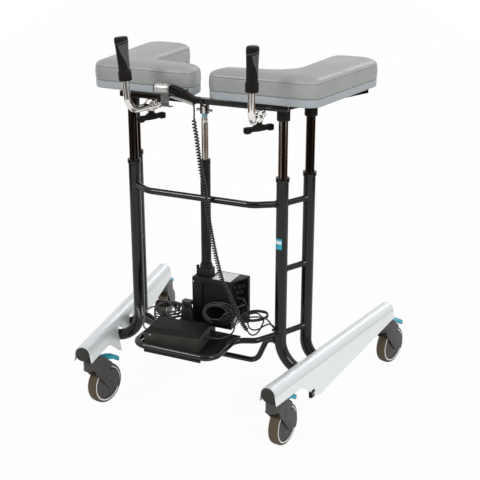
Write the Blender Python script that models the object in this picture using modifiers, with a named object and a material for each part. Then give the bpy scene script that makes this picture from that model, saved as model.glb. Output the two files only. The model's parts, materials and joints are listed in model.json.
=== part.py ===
# Forearm-support walker with a powered lift, four braked casters and two upright grips.
# Metres, +Z up. The origin is on the floor at the middle of the footprint. The user stands
# at +Y, inside the open end of the base; +X is the right-hand side seen from the front.
import math

import bmesh
import bpy
import numpy as np
from mathutils import Matrix, Vector

SIDES = {"left": -1, "right": 1}
GAP = 0.0003                      # between pieces that touch
RUNNING_GAP = 0.0008              # between pieces that turn or slide on each other

# Side profiles: two extrusions that carry the casters and spread towards the rear
PROFILE_LENGTH = 0.622
PROFILE_SPLAY = math.radians(9.4)
PROFILE_FRONT_X = 0.2600          # axis of the right profile at its front end
PROFILE_FRONT_Y = -0.3480
PROFILE_TOP = 0.1920
PROFILE_RADIUS = 0.0215           # outside of the round roof
PROFILE_WALL = 0.0022
SKIRT_SPREAD = 0.0130             # how far each skirt leans out below the roof
SKIRT_LOWEST = 0.1000             # at the fin behind the front caster
SKIRT_TRIM = 0.0040               # drawn below the lowest point, then cut to the edge line
SKIRT_FRONT = 0.1490
SKIRT_REAR = 0.1500
SKIRT_BETWEEN = 0.1360            # inboard edge between the two posts
ARCH_START = 0.105                # along the profile from its front end
ARCH_RUN = 0.088
CAP_LENGTH = 0.050
CAP_PROUD = 0.002
STOP_SIZE = (0.012, 0.026, 0.028)
STOP_ALONG = 0.168
STOP_OFFSET = 0.0175
STOP_Z = 0.110
STOP_PEG = 0.0040

# Posts: four outer tubes that bend outwards into the profiles, with chrome tubes inside
POST_RADIUS = 0.0150
POST_BORE = 0.0122
INNER_RADIUS = 0.0114
FRONT_POST = (0.2064, -0.1465)
REAR_POST = (0.2448, -0.0665)
POST_TOP = 0.6365
COLLAR_RADIUS = 0.0170
COLLAR_HEIGHT = 0.0130
FRONT_BEND = 0.082
REAR_BEND = 0.060
POST_FOOT_Z = 0.1390
NOTCH_WIDTH = 0.036
NOTCH_TOP = 0.1670
INNER_BOTTOM = 0.345
LIFT_DOWN = 0.100                 # travel below the height shown; the tubes allow 0.25 above it
BORE_BOTTOM = INNER_BOTTOM - LIFT_DOWN - 0.005

# Tubes between the posts
RUNG_RADIUS = 0.0075
RUNG_HEIGHTS = (0.2368, 0.4100, 0.5820)
RAIL_RADIUS = 0.0083
RAIL_Z = 0.5820
RAIL_REACH = 0.0400               # how far the front rail stands ahead of the posts
RAIL_HALF = 0.145
RAIL_BEND = 0.0500
LOW_TUBE_RADIUS = 0.0073
LOW_TUBE_Z = 0.1470
LOW_TUBE_HALF = 0.141
LOW_TUBE_BEND = 0.0330
LOW_TUBE_ELBOW_BEND = 0.0200
LOW_TUBE_ELBOW = (0.1700, 0.2150)   # |x| and height where it turns level to the post
TRAY_RADIUS = 0.0075
TRAY_Z = 0.2305
TRAY_JOIN_Z = 0.2385              # where the loop meets the posts
TRAY_REACH = 0.1950               # of the front bar ahead of the posts
TRAY_FRONT_Y = FRONT_POST[1] - TRAY_REACH
TRAY_HALF = 0.1125
TRAY_BEND = 0.0340
TRAY_STEP_BEND = 0.0300
TRAY_STEP_REACH = 0.0740          # where the sides turn outwards, ahead of the posts
TRAY_NECK_REACH = 0.0590          # where they turn to the posts
TRAY_STEP_Y = FRONT_POST[1] - TRAY_STEP_REACH
TRAY_STEP_OUT = (0.1660, FRONT_POST[1] - TRAY_NECK_REACH)
TRAY_STEP_Z = 0.2340
PANEL_HALF = 0.1090
PANEL_CORNER = 0.0300
PANEL_BACK_REACH = 0.0270         # of its rear edge ahead of the posts
PANEL_BACK_Y = FRONT_POST[1] - PANEL_BACK_REACH
PANEL_THICKNESS = 0.0020
APRON_HALF = 0.0785
APRON_DEPTH = 0.0070

# Casters
CASTER_FROM_FRONT = 0.036
CASTER_FROM_REAR = 0.024
CASTER_INBOARD = 0.006
TRAIL = 0.0475
WHEEL_RADIUS = 0.0545
RING_RADIUS = 0.0475              # where the tyre ends and the disc begins
WHEEL_WIDTH = 0.0260
HUB_WIDTH = 0.0280
AXLE_RADIUS = 0.0040
FORK_WIDTH = 0.0400
SLOT_WIDTH = 0.0292
SLOT_RADIUS = 0.0575
HEAD_RADIUS = 0.0175
COVER_RADIUS = 0.0400             # of the fork's side plates, round the axle
HEAD_TOP = 0.1490
STEM_RADIUS = 0.0060
STEM_TOP = 0.1660
PEDAL_PIVOT = (0.0500, 0.1265)    # behind the swivel axis, and height
PEDAL_LENGTH = 0.0450
PEDAL_WIDTH = 0.0340
PEDAL_THICKNESS = 0.0065
PEDAL_TILT = math.radians(-12)
PEDAL_PIN = 0.0040
SWIVEL = {                        # which way each caster trails, turned about its stem
    ("front", "left"): math.radians(-10.0), ("front", "right"): math.radians(-6.0),
    ("rear", "left"): math.radians(14.0), ("rear", "right"): math.radians(-14.0)}

# Lift actuator, with its eye on a pin under the upper frame
FRAME_BOTTOM = 0.8135
FRAME_DEPTH = 0.0140
FRAME_TOP = FRAME_BOTTOM + FRAME_DEPTH
ACTUATOR_AHEAD = 0.0035           # of the front posts
ACTUATOR_Y = FRONT_POST[1] - ACTUATOR_AHEAD
ACTUATOR_RADIUS = 0.0128
ROD_RADIUS = 0.0088
ROD_BORE = 0.0095
ACTUATOR_TOP = 0.6720
HOUSING_SIZE = (0.034, 0.034)
HOUSING_BOTTOM = 0.1680
HOUSING_TOP = 0.3850
ROD_BOTTOM = 0.4000
PIN_RADIUS = 0.0036
PIN_HALF = 0.0210
PIN_DROP = 0.0185                 # below the frame
PIN_Z = FRAME_BOTTOM - PIN_DROP
EYE_WIDTH = 0.0105
EYE_HALF_DEPTH = 0.0065
EYE_REACH = 0.0130                # above the pin
EYE_TOP = PIN_Z + EYE_REACH
EYE_SHANK = 0.0175                # from the pin down to the rod's shoulder
ROD_SHOULDER = PIN_Z - EYE_SHANK

# Control box and charger
BOX_LEFT, BOX_RIGHT = -0.0270, 0.0830
BOX_AHEAD, BOX_BEHIND = 0.0285, 0.0375             # of the actuator's middle
BOX_FRONT_Y, BOX_BACK_Y = ACTUATOR_Y - BOX_AHEAD, ACTUATOR_Y + BOX_BEHIND
BOX_BOTTOM, BOX_TOP = 0.2350, 0.3660
RECESS = (0.0000, 0.0770, 0.2520, 0.3530)
RECESS_DEPTH = 0.0050
SOCKET_RADIUS = 0.0058
SOCKET_STEP = 0.0200
SOCKET_YS = (BOX_FRONT_Y + SOCKET_STEP, BOX_FRONT_Y + 2 * SOCKET_STEP)
SOCKET_ZS = (0.2960, 0.3180)
SOCKET_DEPTH = 0.0060
BOOT_LENGTH = 0.0120
PLATE_RIGHT = 0.1060
PLATE_THICKNESS = 0.0100
CHARGER_SIZE = (0.1450, 0.0880, 0.0490)
CHARGER_BACK = 0.0650             # its middle behind the tray's front bar
CHARGER_SPOT = (-0.0200, TRAY_FRONT_Y + CHARGER_BACK)
CHARGER_TURN = math.radians(7.0)
CHARGER_HIP = 0.0115
GLAND_RADIUS = 0.0036
GLAND_LENGTH = 0.0070

# Upper frame
CROSSBAR_AHEAD = 0.0160           # of the front posts
CROSSBAR_Y = FRONT_POST[1] - CROSSBAR_AHEAD
CROSSBAR_DEPTH = 0.0200
CROSSBAR_HALF = 0.2260
ARM_END = (0.3155, 0.1290)
ARM_WIDTH = 0.0220
CAP_RADIUS = 0.0160
CAP_DROP = 0.0255                 # below the frame
CAP_BOTTOM = FRAME_BOTTOM - CAP_DROP
LUG_HALF = 0.0068                 # inner face of each lug from the middle
LUG_THICKNESS = 0.0020

# Forearm pads: the right half, mirrored for the left
PAD_BOTTOM = FRAME_TOP + GAP
PAD_SPLIT = 0.0085
PAD_AHEAD = 0.0120                # of the crossbar's middle
PAD_LENGTH = 0.3640
PAD_INNER = 0.1060                # from the front to the inner bend
PAD_CUT = (0.0150, 0.0860)        # slant of the inner end: across, and its depth
PAD_FRONT_Y = CROSSBAR_Y - PAD_AHEAD
PAD_REAR_Y = PAD_FRONT_Y + PAD_LENGTH
PAD_TURN = {"left": math.radians(-1.6), "right": 0.0}
PAD_TURN_ABOUT = 0.310            # y of the point that a turned pad swings about
PAD_CORNERS = (                   # x, y and corner radius, anticlockwise
    (PAD_SPLIT, PAD_FRONT_Y, 0.030), (0.2960, PAD_FRONT_Y, 0.036), (0.3465, PAD_REAR_Y, 0.052),
    (0.2020, PAD_REAR_Y, 0.042), (0.1880, PAD_FRONT_Y + PAD_INNER, 0.062),
    (PAD_SPLIT + PAD_CUT[0], PAD_FRONT_Y + PAD_CUT[1], 0.034))
PAD_LEVELS = (                    # inset and height: band, seam, drawn-in side, seam, crown
    (0.0040, 0.0), (0.0004, 0.0025), (0.0000, 0.0185), (0.0018, 0.0200),
    (0.0002, 0.0215), (-0.0012, 0.0380), (0.0000, 0.0525), (0.0016, 0.0540),
    (0.0008, 0.0556), (0.0070, 0.0630), (0.0180, 0.0684), (0.0360, 0.0710))

# Handles
HANDLE_X = {"left": -0.1400, "right": 0.1515}     # of each clamp along the crossbar
HANDLE_TOE = {"left": math.radians(-8.7), "right": math.radians(12.0)}
HANDLE_LEAN = {"left": math.radians(-5.5), "right": math.radians(1.0)}
HANDLE_RADIUS = 0.0089
HANDLE_DROP = 0.0165              # of the leg below the crossbar
HANDLE_LEG_Z = FRAME_BOTTOM - HANDLE_DROP
HANDLE_BEND = 0.0340
HANDLE_AHEAD = 0.0855             # upright, ahead of the clamp's middle
HANDLE_BEHIND = 0.0360
GRIP_LEVELS = (                   # height above the leg, half width, half depth
    (0.0740, 0.0148, 0.0148), (0.0770, 0.0156, 0.0156), (0.0965, 0.0156, 0.0156),
    (0.0985, 0.0138, 0.0138), (0.1205, 0.0136, 0.0142), (0.1485, 0.0142, 0.0158),
    (0.1680, 0.0150, 0.0182), (0.1750, 0.0142, 0.0174), (0.1780, 0.0110, 0.0140))
CLAMP_AHEAD = 0.0035
CLAMP_Y = CROSSBAR_Y - CLAMP_AHEAD
CLAMP_SIZE = (0.0270, 0.0300)
CLAMP_DROP = 0.0130               # below the leg's middle
CLAMP_BOTTOM = HANDLE_LEG_Z - CLAMP_DROP
KNOB_DROP = 0.0160
KNOB_Z = CLAMP_BOTTOM - KNOB_DROP
KNOB_END, KNOB_WAIST = (0.0410, 0.0068), (0.0140, 0.0085)   # reach and half width
KNOB_HUB, KNOB_SCREW = 0.0078, 0.0040
KNOB_THICKNESS = 0.0120
KNOB_TURN = {"left": math.radians(69), "right": math.radians(61)}

# Handset on its bracket
HANDSET_AHEAD = 0.0350            # of the crossbar's middle
HANDSET_Y = CROSSBAR_Y - HANDSET_AHEAD
SHELL_X = (-0.1090, -0.0680)
SHELL_RISE = 0.0215               # above the frame
SHELL_Z = FRAME_TOP + SHELL_RISE
SHELL_RADIUS = 0.0110
HANDSET_END_X = 0.0060
HANDSET_DROP = 0.0190
HANDSET_DEPTH = 0.0200
KEY_RADIUS = 0.0045
KEY_XS = (-0.0960, -0.0820)
KEY_HEIGHT = 0.0016
HOOK_X = (-0.1010, -0.0790)
HOOK_DROP, HOOK_RISE = 0.0095, 0.0080              # below the frame, above the shell's middle
HOOK_BOTTOM, HOOK_TOP = FRAME_BOTTOM - HOOK_DROP, SHELL_Z + HOOK_RISE
HOOK_THICKNESS = 0.0020

# Cords: every route point is a place on the real cord, in metres
WIRE_RADIUS = 0.0021
CURL_COUNT = 41
CURL_POINTS = 8
CURL_RADIUS = 0.0042              # of the wire's own middle line
CURLY_TOP = (-0.0045, HANDSET_Y, SHELL_Z - 0.0320)
CURLY_LEAD_IN = ((-0.0045, -0.1975, 0.8120), (-0.0030, -0.1990, 0.8030),
                 (-0.0015, -0.2025, 0.7930))
CURLY_SPINE = (
    (-0.0010, -0.2045, 0.7860), (0.0003, -0.2050, 0.7659), (0.0049, -0.2058, 0.7440),
    (0.0112, -0.2073, 0.7010), (0.0176, -0.2087, 0.6617), (0.0281, -0.2102, 0.6188),
    (0.0337, -0.2116, 0.5777), (0.0427, -0.2132, 0.5246), (0.0516, -0.2145, 0.4815),
    (0.0620, -0.2158, 0.4384), (0.0771, -0.2172, 0.3874), (0.0934, -0.2180, 0.3571),
    (0.1122, -0.2189, 0.3225), (0.1319, -0.2195, 0.2838), (0.1480, -0.2195, 0.2630))
HANDSET_LEAD = ((0.1586, -0.2140, 0.2515), (0.1645, -0.2070, 0.2520), (0.1679, -0.2000, 0.2553),
                (0.1695, -0.1900, 0.2609), (0.1690, -0.1760, 0.2670), (0.1655, -0.1620, 0.2745))
POST_LEAD = ((0.1640, -0.2000, 0.2965), (0.1800, -0.1945, 0.2960), (0.1905, -0.1860, 0.2850),
             (0.1965, -0.1800, 0.2710), (0.2005, -0.1745, 0.2635), (0.1975, -0.1680, 0.2635),
             (0.1848, -0.1660, 0.2670), (0.1705, -0.1680, 0.2600), (0.1560, -0.1700, 0.2490),
             (0.1400, -0.1700, 0.2440), (0.1260, -0.1640, 0.2480), (0.1190, -0.1570, 0.2640),
             (0.1180, -0.1550, 0.2880), (0.1140, -0.1570, 0.3080), (0.1060, -0.1585, 0.3170))
HANK_POINTS = 24
HANK_STEP = 0.0052                # from loop to loop
HANDSET_HANK = {"centre": (0.1490, -0.1760, 0.2870), "half_run": 0.0350, "half_width": 0.0220,
                "rise": math.radians(10), "lean": math.radians(9), "turns": 2.5, "waist": 0.0,
                "start": math.radians(90), "spin": 1}
OUTPUT_HANK = {"centre": (0.0560, -0.2005, 0.2870), "half_run": 0.0480, "half_width": 0.0260,
               "rise": 0.0, "lean": math.radians(66), "turns": 3, "waist": 0.0,
               "start": 0.0, "spin": 1}
MAINS_HANK = {"centre": (-0.0960, -0.1840, 0.2545), "half_run": 0.0460, "half_width": 0.0250,
              "rise": 0.0, "lean": math.radians(45), "turns": 2, "waist": 0.5,
              "start": math.radians(90), "spin": -1}
OUTPUT_START = ((0.0850, -0.2520, 0.2430), (0.0985, -0.2350, 0.2450), (0.1060, -0.2150, 0.2510),
                (0.1050, -0.2000, 0.2680))
OUTPUT_END = ((0.1045, -0.2020, 0.3000), (0.1050, -0.1880, 0.3060), (0.1065, -0.1700, 0.3040),
              (0.1070, -0.1540, 0.3000))
MAINS_START = ((-0.1150, -0.2800, 0.2500), (-0.1250, -0.2620, 0.2530), (-0.1400, -0.2320, 0.2520),
               (-0.1560, -0.2080, 0.2510), (-0.1620, -0.1850, 0.2500), (-0.1540, -0.1650, 0.2520),
               (-0.1350, -0.1580, 0.2560), (-0.1160, -0.1630, 0.2580))
MAINS_END = ((-0.0760, -0.1755, 0.2750), (-0.0570, -0.1690, 0.2720), (-0.0430, -0.1690, 0.2600),
             (-0.0330, -0.1730, 0.2420))
PLUG_SPOT = (-0.0305, -0.2000)
PLUG_LEVELS = (                   # height, half width, half depth
    (0.0000, 0.0130, 0.0100), (0.0320, 0.0165, 0.0105), (0.0520, 0.0160, 0.0100),
    (0.0645, 0.0110, 0.0080), (0.0730, 0.0105, 0.0080), (0.0742, 0.0135, 0.0095),
    (0.0840, 0.0135, 0.0095))
PLUG_STUB = 0.0140                # reach of the strain relief behind the plug
PLUG_INLET_Z = 0.0130
CLIP_SIZE = (0.0080, 0.0055)
CLIP_Z = 0.2580
CLIP_SINK = POST_RADIUS - POST_BORE - 0.0001      # into the wall of the post, not its bore


def material(name, colour, roughness, metallic=0.0):
    """A plain material; colour is linear RGB."""
    made = bpy.data.materials.new(name)
    made.use_nodes = True
    shader = made.node_tree.nodes["Principled BSDF"]
    shader.inputs["Base Color"].default_value = (*colour, 1.0)
    shader.inputs["Roughness"].default_value = roughness
    shader.inputs["Metallic"].default_value = metallic
    return made


def link(name, mesh, finish, parent=None, collection=None):
    made = bpy.data.objects.new(name, mesh)
    (collection or WALKER).objects.link(made)
    made.parent = parent
    if finish:
        mesh.materials.append(finish)
    return made


def empty(name, location, turn=0.0, parent=None):
    made = bpy.data.objects.new(name, None)
    made.location = location
    made.rotation_euler.z = turn
    made.empty_display_size = 0.03
    made.parent = parent
    WALKER.objects.link(made)
    return made


def finish_mesh(build, matrix=None):
    """Weld, orient and store a bmesh; matrix moves the geometry inside the object."""
    bmesh.ops.remove_doubles(build, verts=build.verts, dist=0.00001)
    bmesh.ops.recalc_face_normals(build, faces=build.faces)
    if build.calc_volume(signed=True) < 0:
        bmesh.ops.reverse_faces(build, faces=build.faces)
    if matrix is not None:
        build.transform(matrix)
    mesh = bpy.data.meshes.new("shape")
    build.to_mesh(mesh)
    build.free()
    return mesh


def smooth(made, angle=35):
    made.data.shade_smooth()
    made.data.set_sharp_from_angle(angle=math.radians(angle))
    return made


def block(low, high, matrix=None):
    """Box mesh between two corners."""
    build = bmesh.new()
    bmesh.ops.create_cube(build, size=1.0)
    low, high = Vector(low), Vector(high)
    size = high - low
    build.transform(Matrix.Translation((low + high) / 2) @ Matrix.Diagonal((*size, 1)))
    return finish_mesh(build, matrix)


def rod_mesh(start, end, radius, sides=16):
    """Cylinder mesh between two points."""
    start, end = Vector(start), Vector(end)
    build = bmesh.new()
    bmesh.ops.create_cone(build, cap_ends=True, segments=sides, radius1=radius,
                          radius2=radius, depth=(end - start).length)
    turn = Vector((0, 0, 1)).rotation_difference(end - start).to_matrix().to_4x4()
    return finish_mesh(build, Matrix.Translation((start + end) / 2) @ turn)


def rounded(corners, steps=5):
    """Closed outline through corners, each with its own radius."""
    points = []
    count = len(corners)
    for index, (x, y, radius) in enumerate(corners):
        corner = Vector((x, y))
        before = (Vector(corners[index - 1][:2]) - corner).normalized()
        after = (Vector(corners[(index + 1) % count][:2]) - corner).normalized()
        if radius <= 0:
            points.append(corner)
            continue
        half = before.angle(after) / 2
        centre = corner + (before + after).normalized() * radius / math.sin(half)
        first = corner + before * radius / math.tan(half)
        last = corner + after * radius / math.tan(half)
        start = (first - centre)
        sweep = start.angle_signed(last - centre)
        for step in range(steps + 1):
            angle = -sweep * step / steps
            points.append(centre + Matrix.Rotation(angle, 2) @ start)
    return points


def plate(outline, low, high, matrix):
    """Flat outline made solid from low to high across its plane; matrix places it."""
    curve = bpy.data.curves.new("outline", "CURVE")
    curve.dimensions = "2D"
    curve.fill_mode = "BOTH"
    curve.extrude = (high - low) / 2
    spline = curve.splines.new("POLY")
    spline.points.add(len(outline) - 1)
    for point, place in zip(spline.points, outline):
        point.co = (place[0], place[1], 0.0, 1.0)
    spline.use_cyclic_u = True
    shift = Matrix.Translation((0, 0, (high + low) / 2))
    return curve_mesh(curve, matrix @ shift)


def curve_mesh(curve, matrix=None):
    """Evaluate a curve to a welded mesh and remove the curve."""
    holder = bpy.data.objects.new("curve", curve)
    bpy.context.scene.collection.objects.link(holder)
    bpy.context.view_layer.update()
    evaluated = holder.evaluated_get(bpy.context.evaluated_depsgraph_get())
    mesh = bpy.data.meshes.new_from_object(evaluated)
    bpy.data.objects.remove(holder)
    bpy.data.curves.remove(curve)
    build = bmesh.new()
    build.from_mesh(mesh)
    bpy.data.meshes.remove(mesh)
    return finish_mesh(build, matrix)


def tube_curve(points, radius, resolution=2):
    """Round tube along points, with flat ends."""
    curve = bpy.data.curves.new("tube", "CURVE")
    curve.dimensions = "3D"
    curve.bevel_depth = radius
    curve.bevel_resolution = resolution
    curve.use_fill_caps = True
    spline = curve.splines.new("POLY")
    spline.points.add(len(points) - 1)
    for point, place in zip(spline.points, points):
        point.co = (*place, 1.0)
    return curve


def tube_mesh(points, radius, resolution=2):
    return curve_mesh(tube_curve(points, radius, resolution))


def bent(corners, steps=4):
    """Tube route through corners (point, bend radius); the two ends have no bend."""
    route = [Vector(corners[0][0])]
    for index in range(1, len(corners) - 1):
        corner, radius = Vector(corners[index][0]), corners[index][1]
        before = (Vector(corners[index - 1][0]) - corner).normalized()
        after = (Vector(corners[index + 1][0]) - corner).normalized()
        half = before.angle(after) / 2
        centre = corner + (before + after).normalized() * radius / math.sin(half)
        start = corner + before * radius / math.tan(half) - centre
        axis = start.cross(corner + after * radius / math.tan(half) - centre).normalized()
        sweep = math.pi - 2 * half
        for step in range(steps + 1):
            route.append(centre + Matrix.Rotation(sweep * step / steps, 3, axis) @ start)
    route.append(Vector(corners[-1][0]))
    return route


def flow(points, spacing, straight_ends=False):
    """Smooth curve through the points, cut in equal steps near the spacing.

    With straight ends, the first and last stretch stay as they are.
    """
    points = [Vector(place) for place in points]
    if straight_ends:
        ends, padded = (points[0], points[-1]), points
        points = points[1:-1]
    else:
        padded = [2 * points[0] - points[1], *points, 2 * points[-1] - points[-2]]
    fine = []
    for a, b, c, d in zip(padded, padded[1:], padded[2:], padded[3:]):
        for step in range(24):
            t = step / 24
            fine.append(0.5 * (2 * b + (c - a) * t + (2 * a - 5 * b + 4 * c - d) * t ** 2
                               + (3 * b - a - 3 * c + d) * t ** 3))
    fine.append(points[-1])
    run = np.concatenate(([0], np.cumsum([(b - a).length for a, b in zip(fine, fine[1:])])))
    wanted = np.linspace(0, run[-1], max(2, round(run[-1] / spacing)) + 1)
    columns = [np.interp(wanted, run, [place[axis] for place in fine]) for axis in range(3)]
    even = [Vector(place) for place in zip(*columns)]
    return [ends[0], *even, ends[1]] if straight_ends else even


def turned(name, profile, steps, finish, parent):
    """Body turned about its Z axis from a closed (radius, height) profile."""
    build = bmesh.new()
    verts = [build.verts.new((radius, 0.0, height)) for radius, height in profile]
    for pair in zip(verts, verts[1:] + verts[:1]):
        build.edges.new(pair)
    mesh = bpy.data.meshes.new("profile")
    build.to_mesh(mesh)
    build.free()
    made = link(name, mesh, finish, parent)
    screw = made.modifiers.new("Turn", "SCREW")
    screw.axis = "Z"
    screw.steps = screw.render_steps = steps
    screw.use_merge_vertices = True
    screw.merge_threshold = 0.00001
    screw.use_smooth_shade = False
    return made


def combine(made, mesh, operation, parent=None):
    """Boolean of a mesh, given in the parent's frame, with an object."""
    tool = link(made.name + "_" + operation.lower(), mesh, None,
                parent or made.parent, CUTTERS)
    if parent is None:
        tool.location = made.location
        tool.rotation_euler = made.rotation_euler
    tool.hide_render = True
    tool.display_type = "WIRE"
    modifier = made.modifiers.new(operation.title(), "BOOLEAN")
    modifier.operation = operation
    modifier.object = tool
    return made


def cut(made, mesh):
    return combine(made, mesh, "DIFFERENCE")


def add(made, mesh):
    return combine(made, mesh, "UNION")


def clear_scene():
    for old in list(bpy.data.objects):
        bpy.data.objects.remove(old)


# Frames along the profiles
def profile_matrix(side):
    """Frame at a profile's front end: +X outboard, +Y towards the rear."""
    sign = SIDES[side]
    place = Matrix.Translation((sign * PROFILE_FRONT_X, PROFILE_FRONT_Y, 0))
    return place @ Matrix.Rotation(-sign * PROFILE_SPLAY, 4, "Z")


def on_profile(side, along, outboard, height):
    return profile_matrix(side) @ Vector((SIDES[side] * outboard, along, height))


def section_outline():
    """Outside of the profile from the inboard skirt over the roof to the outboard skirt."""
    centre = PROFILE_TOP - PROFILE_RADIUS
    low = SKIRT_LOWEST - SKIRT_TRIM
    outside = [(-PROFILE_RADIUS - SKIRT_SPREAD, low)]
    inside = [(-PROFILE_RADIUS - SKIRT_SPREAD + PROFILE_WALL, low)]
    for step in range(13):
        angle = math.pi * (1 - step / 12)
        reach = Vector((math.cos(angle), math.sin(angle)))
        outside.append((reach.x * PROFILE_RADIUS, centre + reach.y * PROFILE_RADIUS))
        bore = PROFILE_RADIUS - PROFILE_WALL
        inside.append((reach.x * bore, centre + reach.y * bore))
    outside.append((PROFILE_RADIUS + SKIRT_SPREAD, low))
    inside.append((PROFILE_RADIUS + SKIRT_SPREAD - PROFILE_WALL, low))
    return outside + inside[::-1]


def skirt_edge():
    """Outline below the skirts' lower edge: level, arch, fin, then a long taper."""
    edge = [(-0.01, SKIRT_FRONT)]
    for step in range(9):
        share = step / 8
        drop = (1 + math.cos(math.pi * share)) / 2
        edge.append((ARCH_START + ARCH_RUN * share,
                     SKIRT_LOWEST + (SKIRT_FRONT - SKIRT_LOWEST) * drop))
    slope = (SKIRT_REAR - SKIRT_LOWEST) / (PROFILE_LENGTH - ARCH_START - ARCH_RUN)
    edge.append((PROFILE_LENGTH + 0.01, SKIRT_REAR + slope * 0.01))
    return edge + [(PROFILE_LENGTH + 0.01, 0.05), (-0.01, 0.05)]


ALONG_PLANE = Matrix(((0, 0, 1, 0), (1, 0, 0, 0), (0, 1, 0, 0), (0, 0, 0, 1)))  # Y, Z across X
FACING_PLANE = Matrix(((1, 0, 0, 0), (0, 0, -1, 0), (0, 1, 0, 0), (0, 0, 0, 1)))  # X, Z across -Y


def crossing(y, outboard):
    """Where a line of constant y meets a profile at an offset: distance along, and |x|."""
    along = (y - PROFILE_FRONT_Y + outboard * math.sin(PROFILE_SPLAY)) / math.cos(PROFILE_SPLAY)
    reach = along * math.sin(PROFILE_SPLAY) + outboard * math.cos(PROFILE_SPLAY)
    return along, PROFILE_FRONT_X + reach


def make_profile(side, finish):
    base = empty("side_" + side, profile_matrix(side).translation,
                 -SIDES[side] * PROFILE_SPLAY)
    body = link("side_profile_" + side,
                plate(section_outline(), -PROFILE_LENGTH, 0.0, FACING_PLANE), finish, base)
    cut(body, plate(skirt_edge(), -0.1, 0.1, ALONG_PLANE))
    reach = sorted((-SIDES[side] * 0.060, -SIDES[side] * 0.010))
    for post in (FRONT_POST, REAR_POST):
        middle = crossing(post[1], -skirt_inside(POST_FOOT_Z))[0]
        half = NOTCH_WIDTH / 2
        notch = rounded(((middle - half, 0.05, 0), (middle + half, 0.05, 0),
                         (middle + half, NOTCH_TOP, half * 0.98),
                         (middle - half, NOTCH_TOP, half * 0.98)))
        cut(body, plate(notch, *reach, ALONG_PLANE))
    first, last = (crossing(post[1], -PROFILE_RADIUS)[0] for post in (FRONT_POST, REAR_POST))
    cut(body, block((reach[0], first, SKIRT_LOWEST - 0.01), (reach[1], last, SKIRT_BETWEEN)))
    smooth(body)
    return base


def make_profile_caps(side, base, finish):
    """Round plugs in both ends, each bored from below for its caster's stem."""
    centre = PROFILE_TOP - PROFILE_RADIUS
    radius = PROFILE_RADIUS - PROFILE_WALL - GAP
    inboard = -SIDES[side] * CASTER_INBOARD
    ends = {"front": (-CAP_PROUD, CAP_LENGTH, CASTER_FROM_FRONT, inboard),
            "rear": (PROFILE_LENGTH - CAP_LENGTH, PROFILE_LENGTH + CAP_PROUD,
                     PROFILE_LENGTH - CASTER_FROM_REAR, 0.0)}
    for end, (start, stop, stem, shift) in ends.items():
        plug = link(f"profile_cap_{end}_{side}",
                    rod_mesh((0, start, centre), (0, stop, centre), radius, 16), finish, base)
        cut(plug, rod_mesh((shift, stem, HEAD_TOP - 0.009), (shift, stem, STEM_TOP + GAP * 2),
                           STEM_RADIUS + RUNNING_GAP, 12))
        smooth(plug)


def make_stop(side, base, finish):
    """Square plastic plug with a short neck, under the arch on the outboard skirt."""
    sign = SIDES[side]
    across, along, tall = STOP_SIZE
    outline = rounded([(STOP_ALONG + a * along / 2, STOP_Z + b * tall / 2, 0.006)
                       for a, b in ((-1, -1), (1, -1), (1, 1), (-1, 1))], 2)
    low, high = STOP_OFFSET - across / 2, STOP_OFFSET + across / 2
    reach = sorted((sign * low, sign * high))
    plug = link("arch_stop_" + side, plate(outline, *reach, ALONG_PLANE), finish, base)
    peg_z = STOP_Z + 0.0085
    face = skirt_inside(peg_z + STOP_PEG) - GAP
    add(plug, rod_mesh((sign * STOP_OFFSET, STOP_ALONG, peg_z), (sign * face, STOP_ALONG, peg_z),
                       STOP_PEG, 8))


def skirt_inside(height):
    """Distance from the profile's middle to the inside of a skirt, at a height."""
    lean = SKIRT_SPREAD * (PROFILE_TOP - PROFILE_RADIUS - height)
    lean /= PROFILE_TOP - PROFILE_RADIUS - SKIRT_LOWEST + SKIRT_TRIM
    return PROFILE_RADIUS + max(lean, 0.0) - PROFILE_WALL


def post_route(side, post, bend):
    """From the collar down, then outwards under the inboard skirt to the outboard skirt."""
    sign = SIDES[side]
    x, y = sign * post[0], post[1]
    rim = [math.tau * step / 24 for step in range(24)]
    foot = min(crossing(y + POST_RADIUS * math.cos(turn),
                        skirt_inside(POST_FOOT_Z + POST_RADIUS * math.sin(turn)) - GAP)[1]
               for turn in rim)
    return bent([((x, y, POST_TOP), 0), ((x, y, POST_FOOT_Z), bend),
                 ((sign * foot, y, POST_FOOT_Z), 0)], 6)


def make_post(name, side, post, bend, finish):
    x, y = SIDES[side] * post[0], post[1]
    tube = link(name, tube_mesh(post_route(side, post, bend), POST_RADIUS, 4), finish)
    add(tube, rod_mesh((x, y, POST_TOP - 0.002), (x, y, POST_TOP + COLLAR_HEIGHT),
                       COLLAR_RADIUS, 16))
    cut(tube, rod_mesh((x, y, BORE_BOTTOM), (x, y, POST_TOP + COLLAR_HEIGHT + 0.01),
                       POST_BORE, 12))
    return smooth(tube)


def post_clearance(side, post):
    """A sleeve round a post that shapes the end of a tube meeting it."""
    x, y = SIDES[side] * post[0], post[1]
    return rod_mesh((x, y, 0.18), (x, y, 0.62), POST_RADIUS + GAP, 16)


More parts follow.
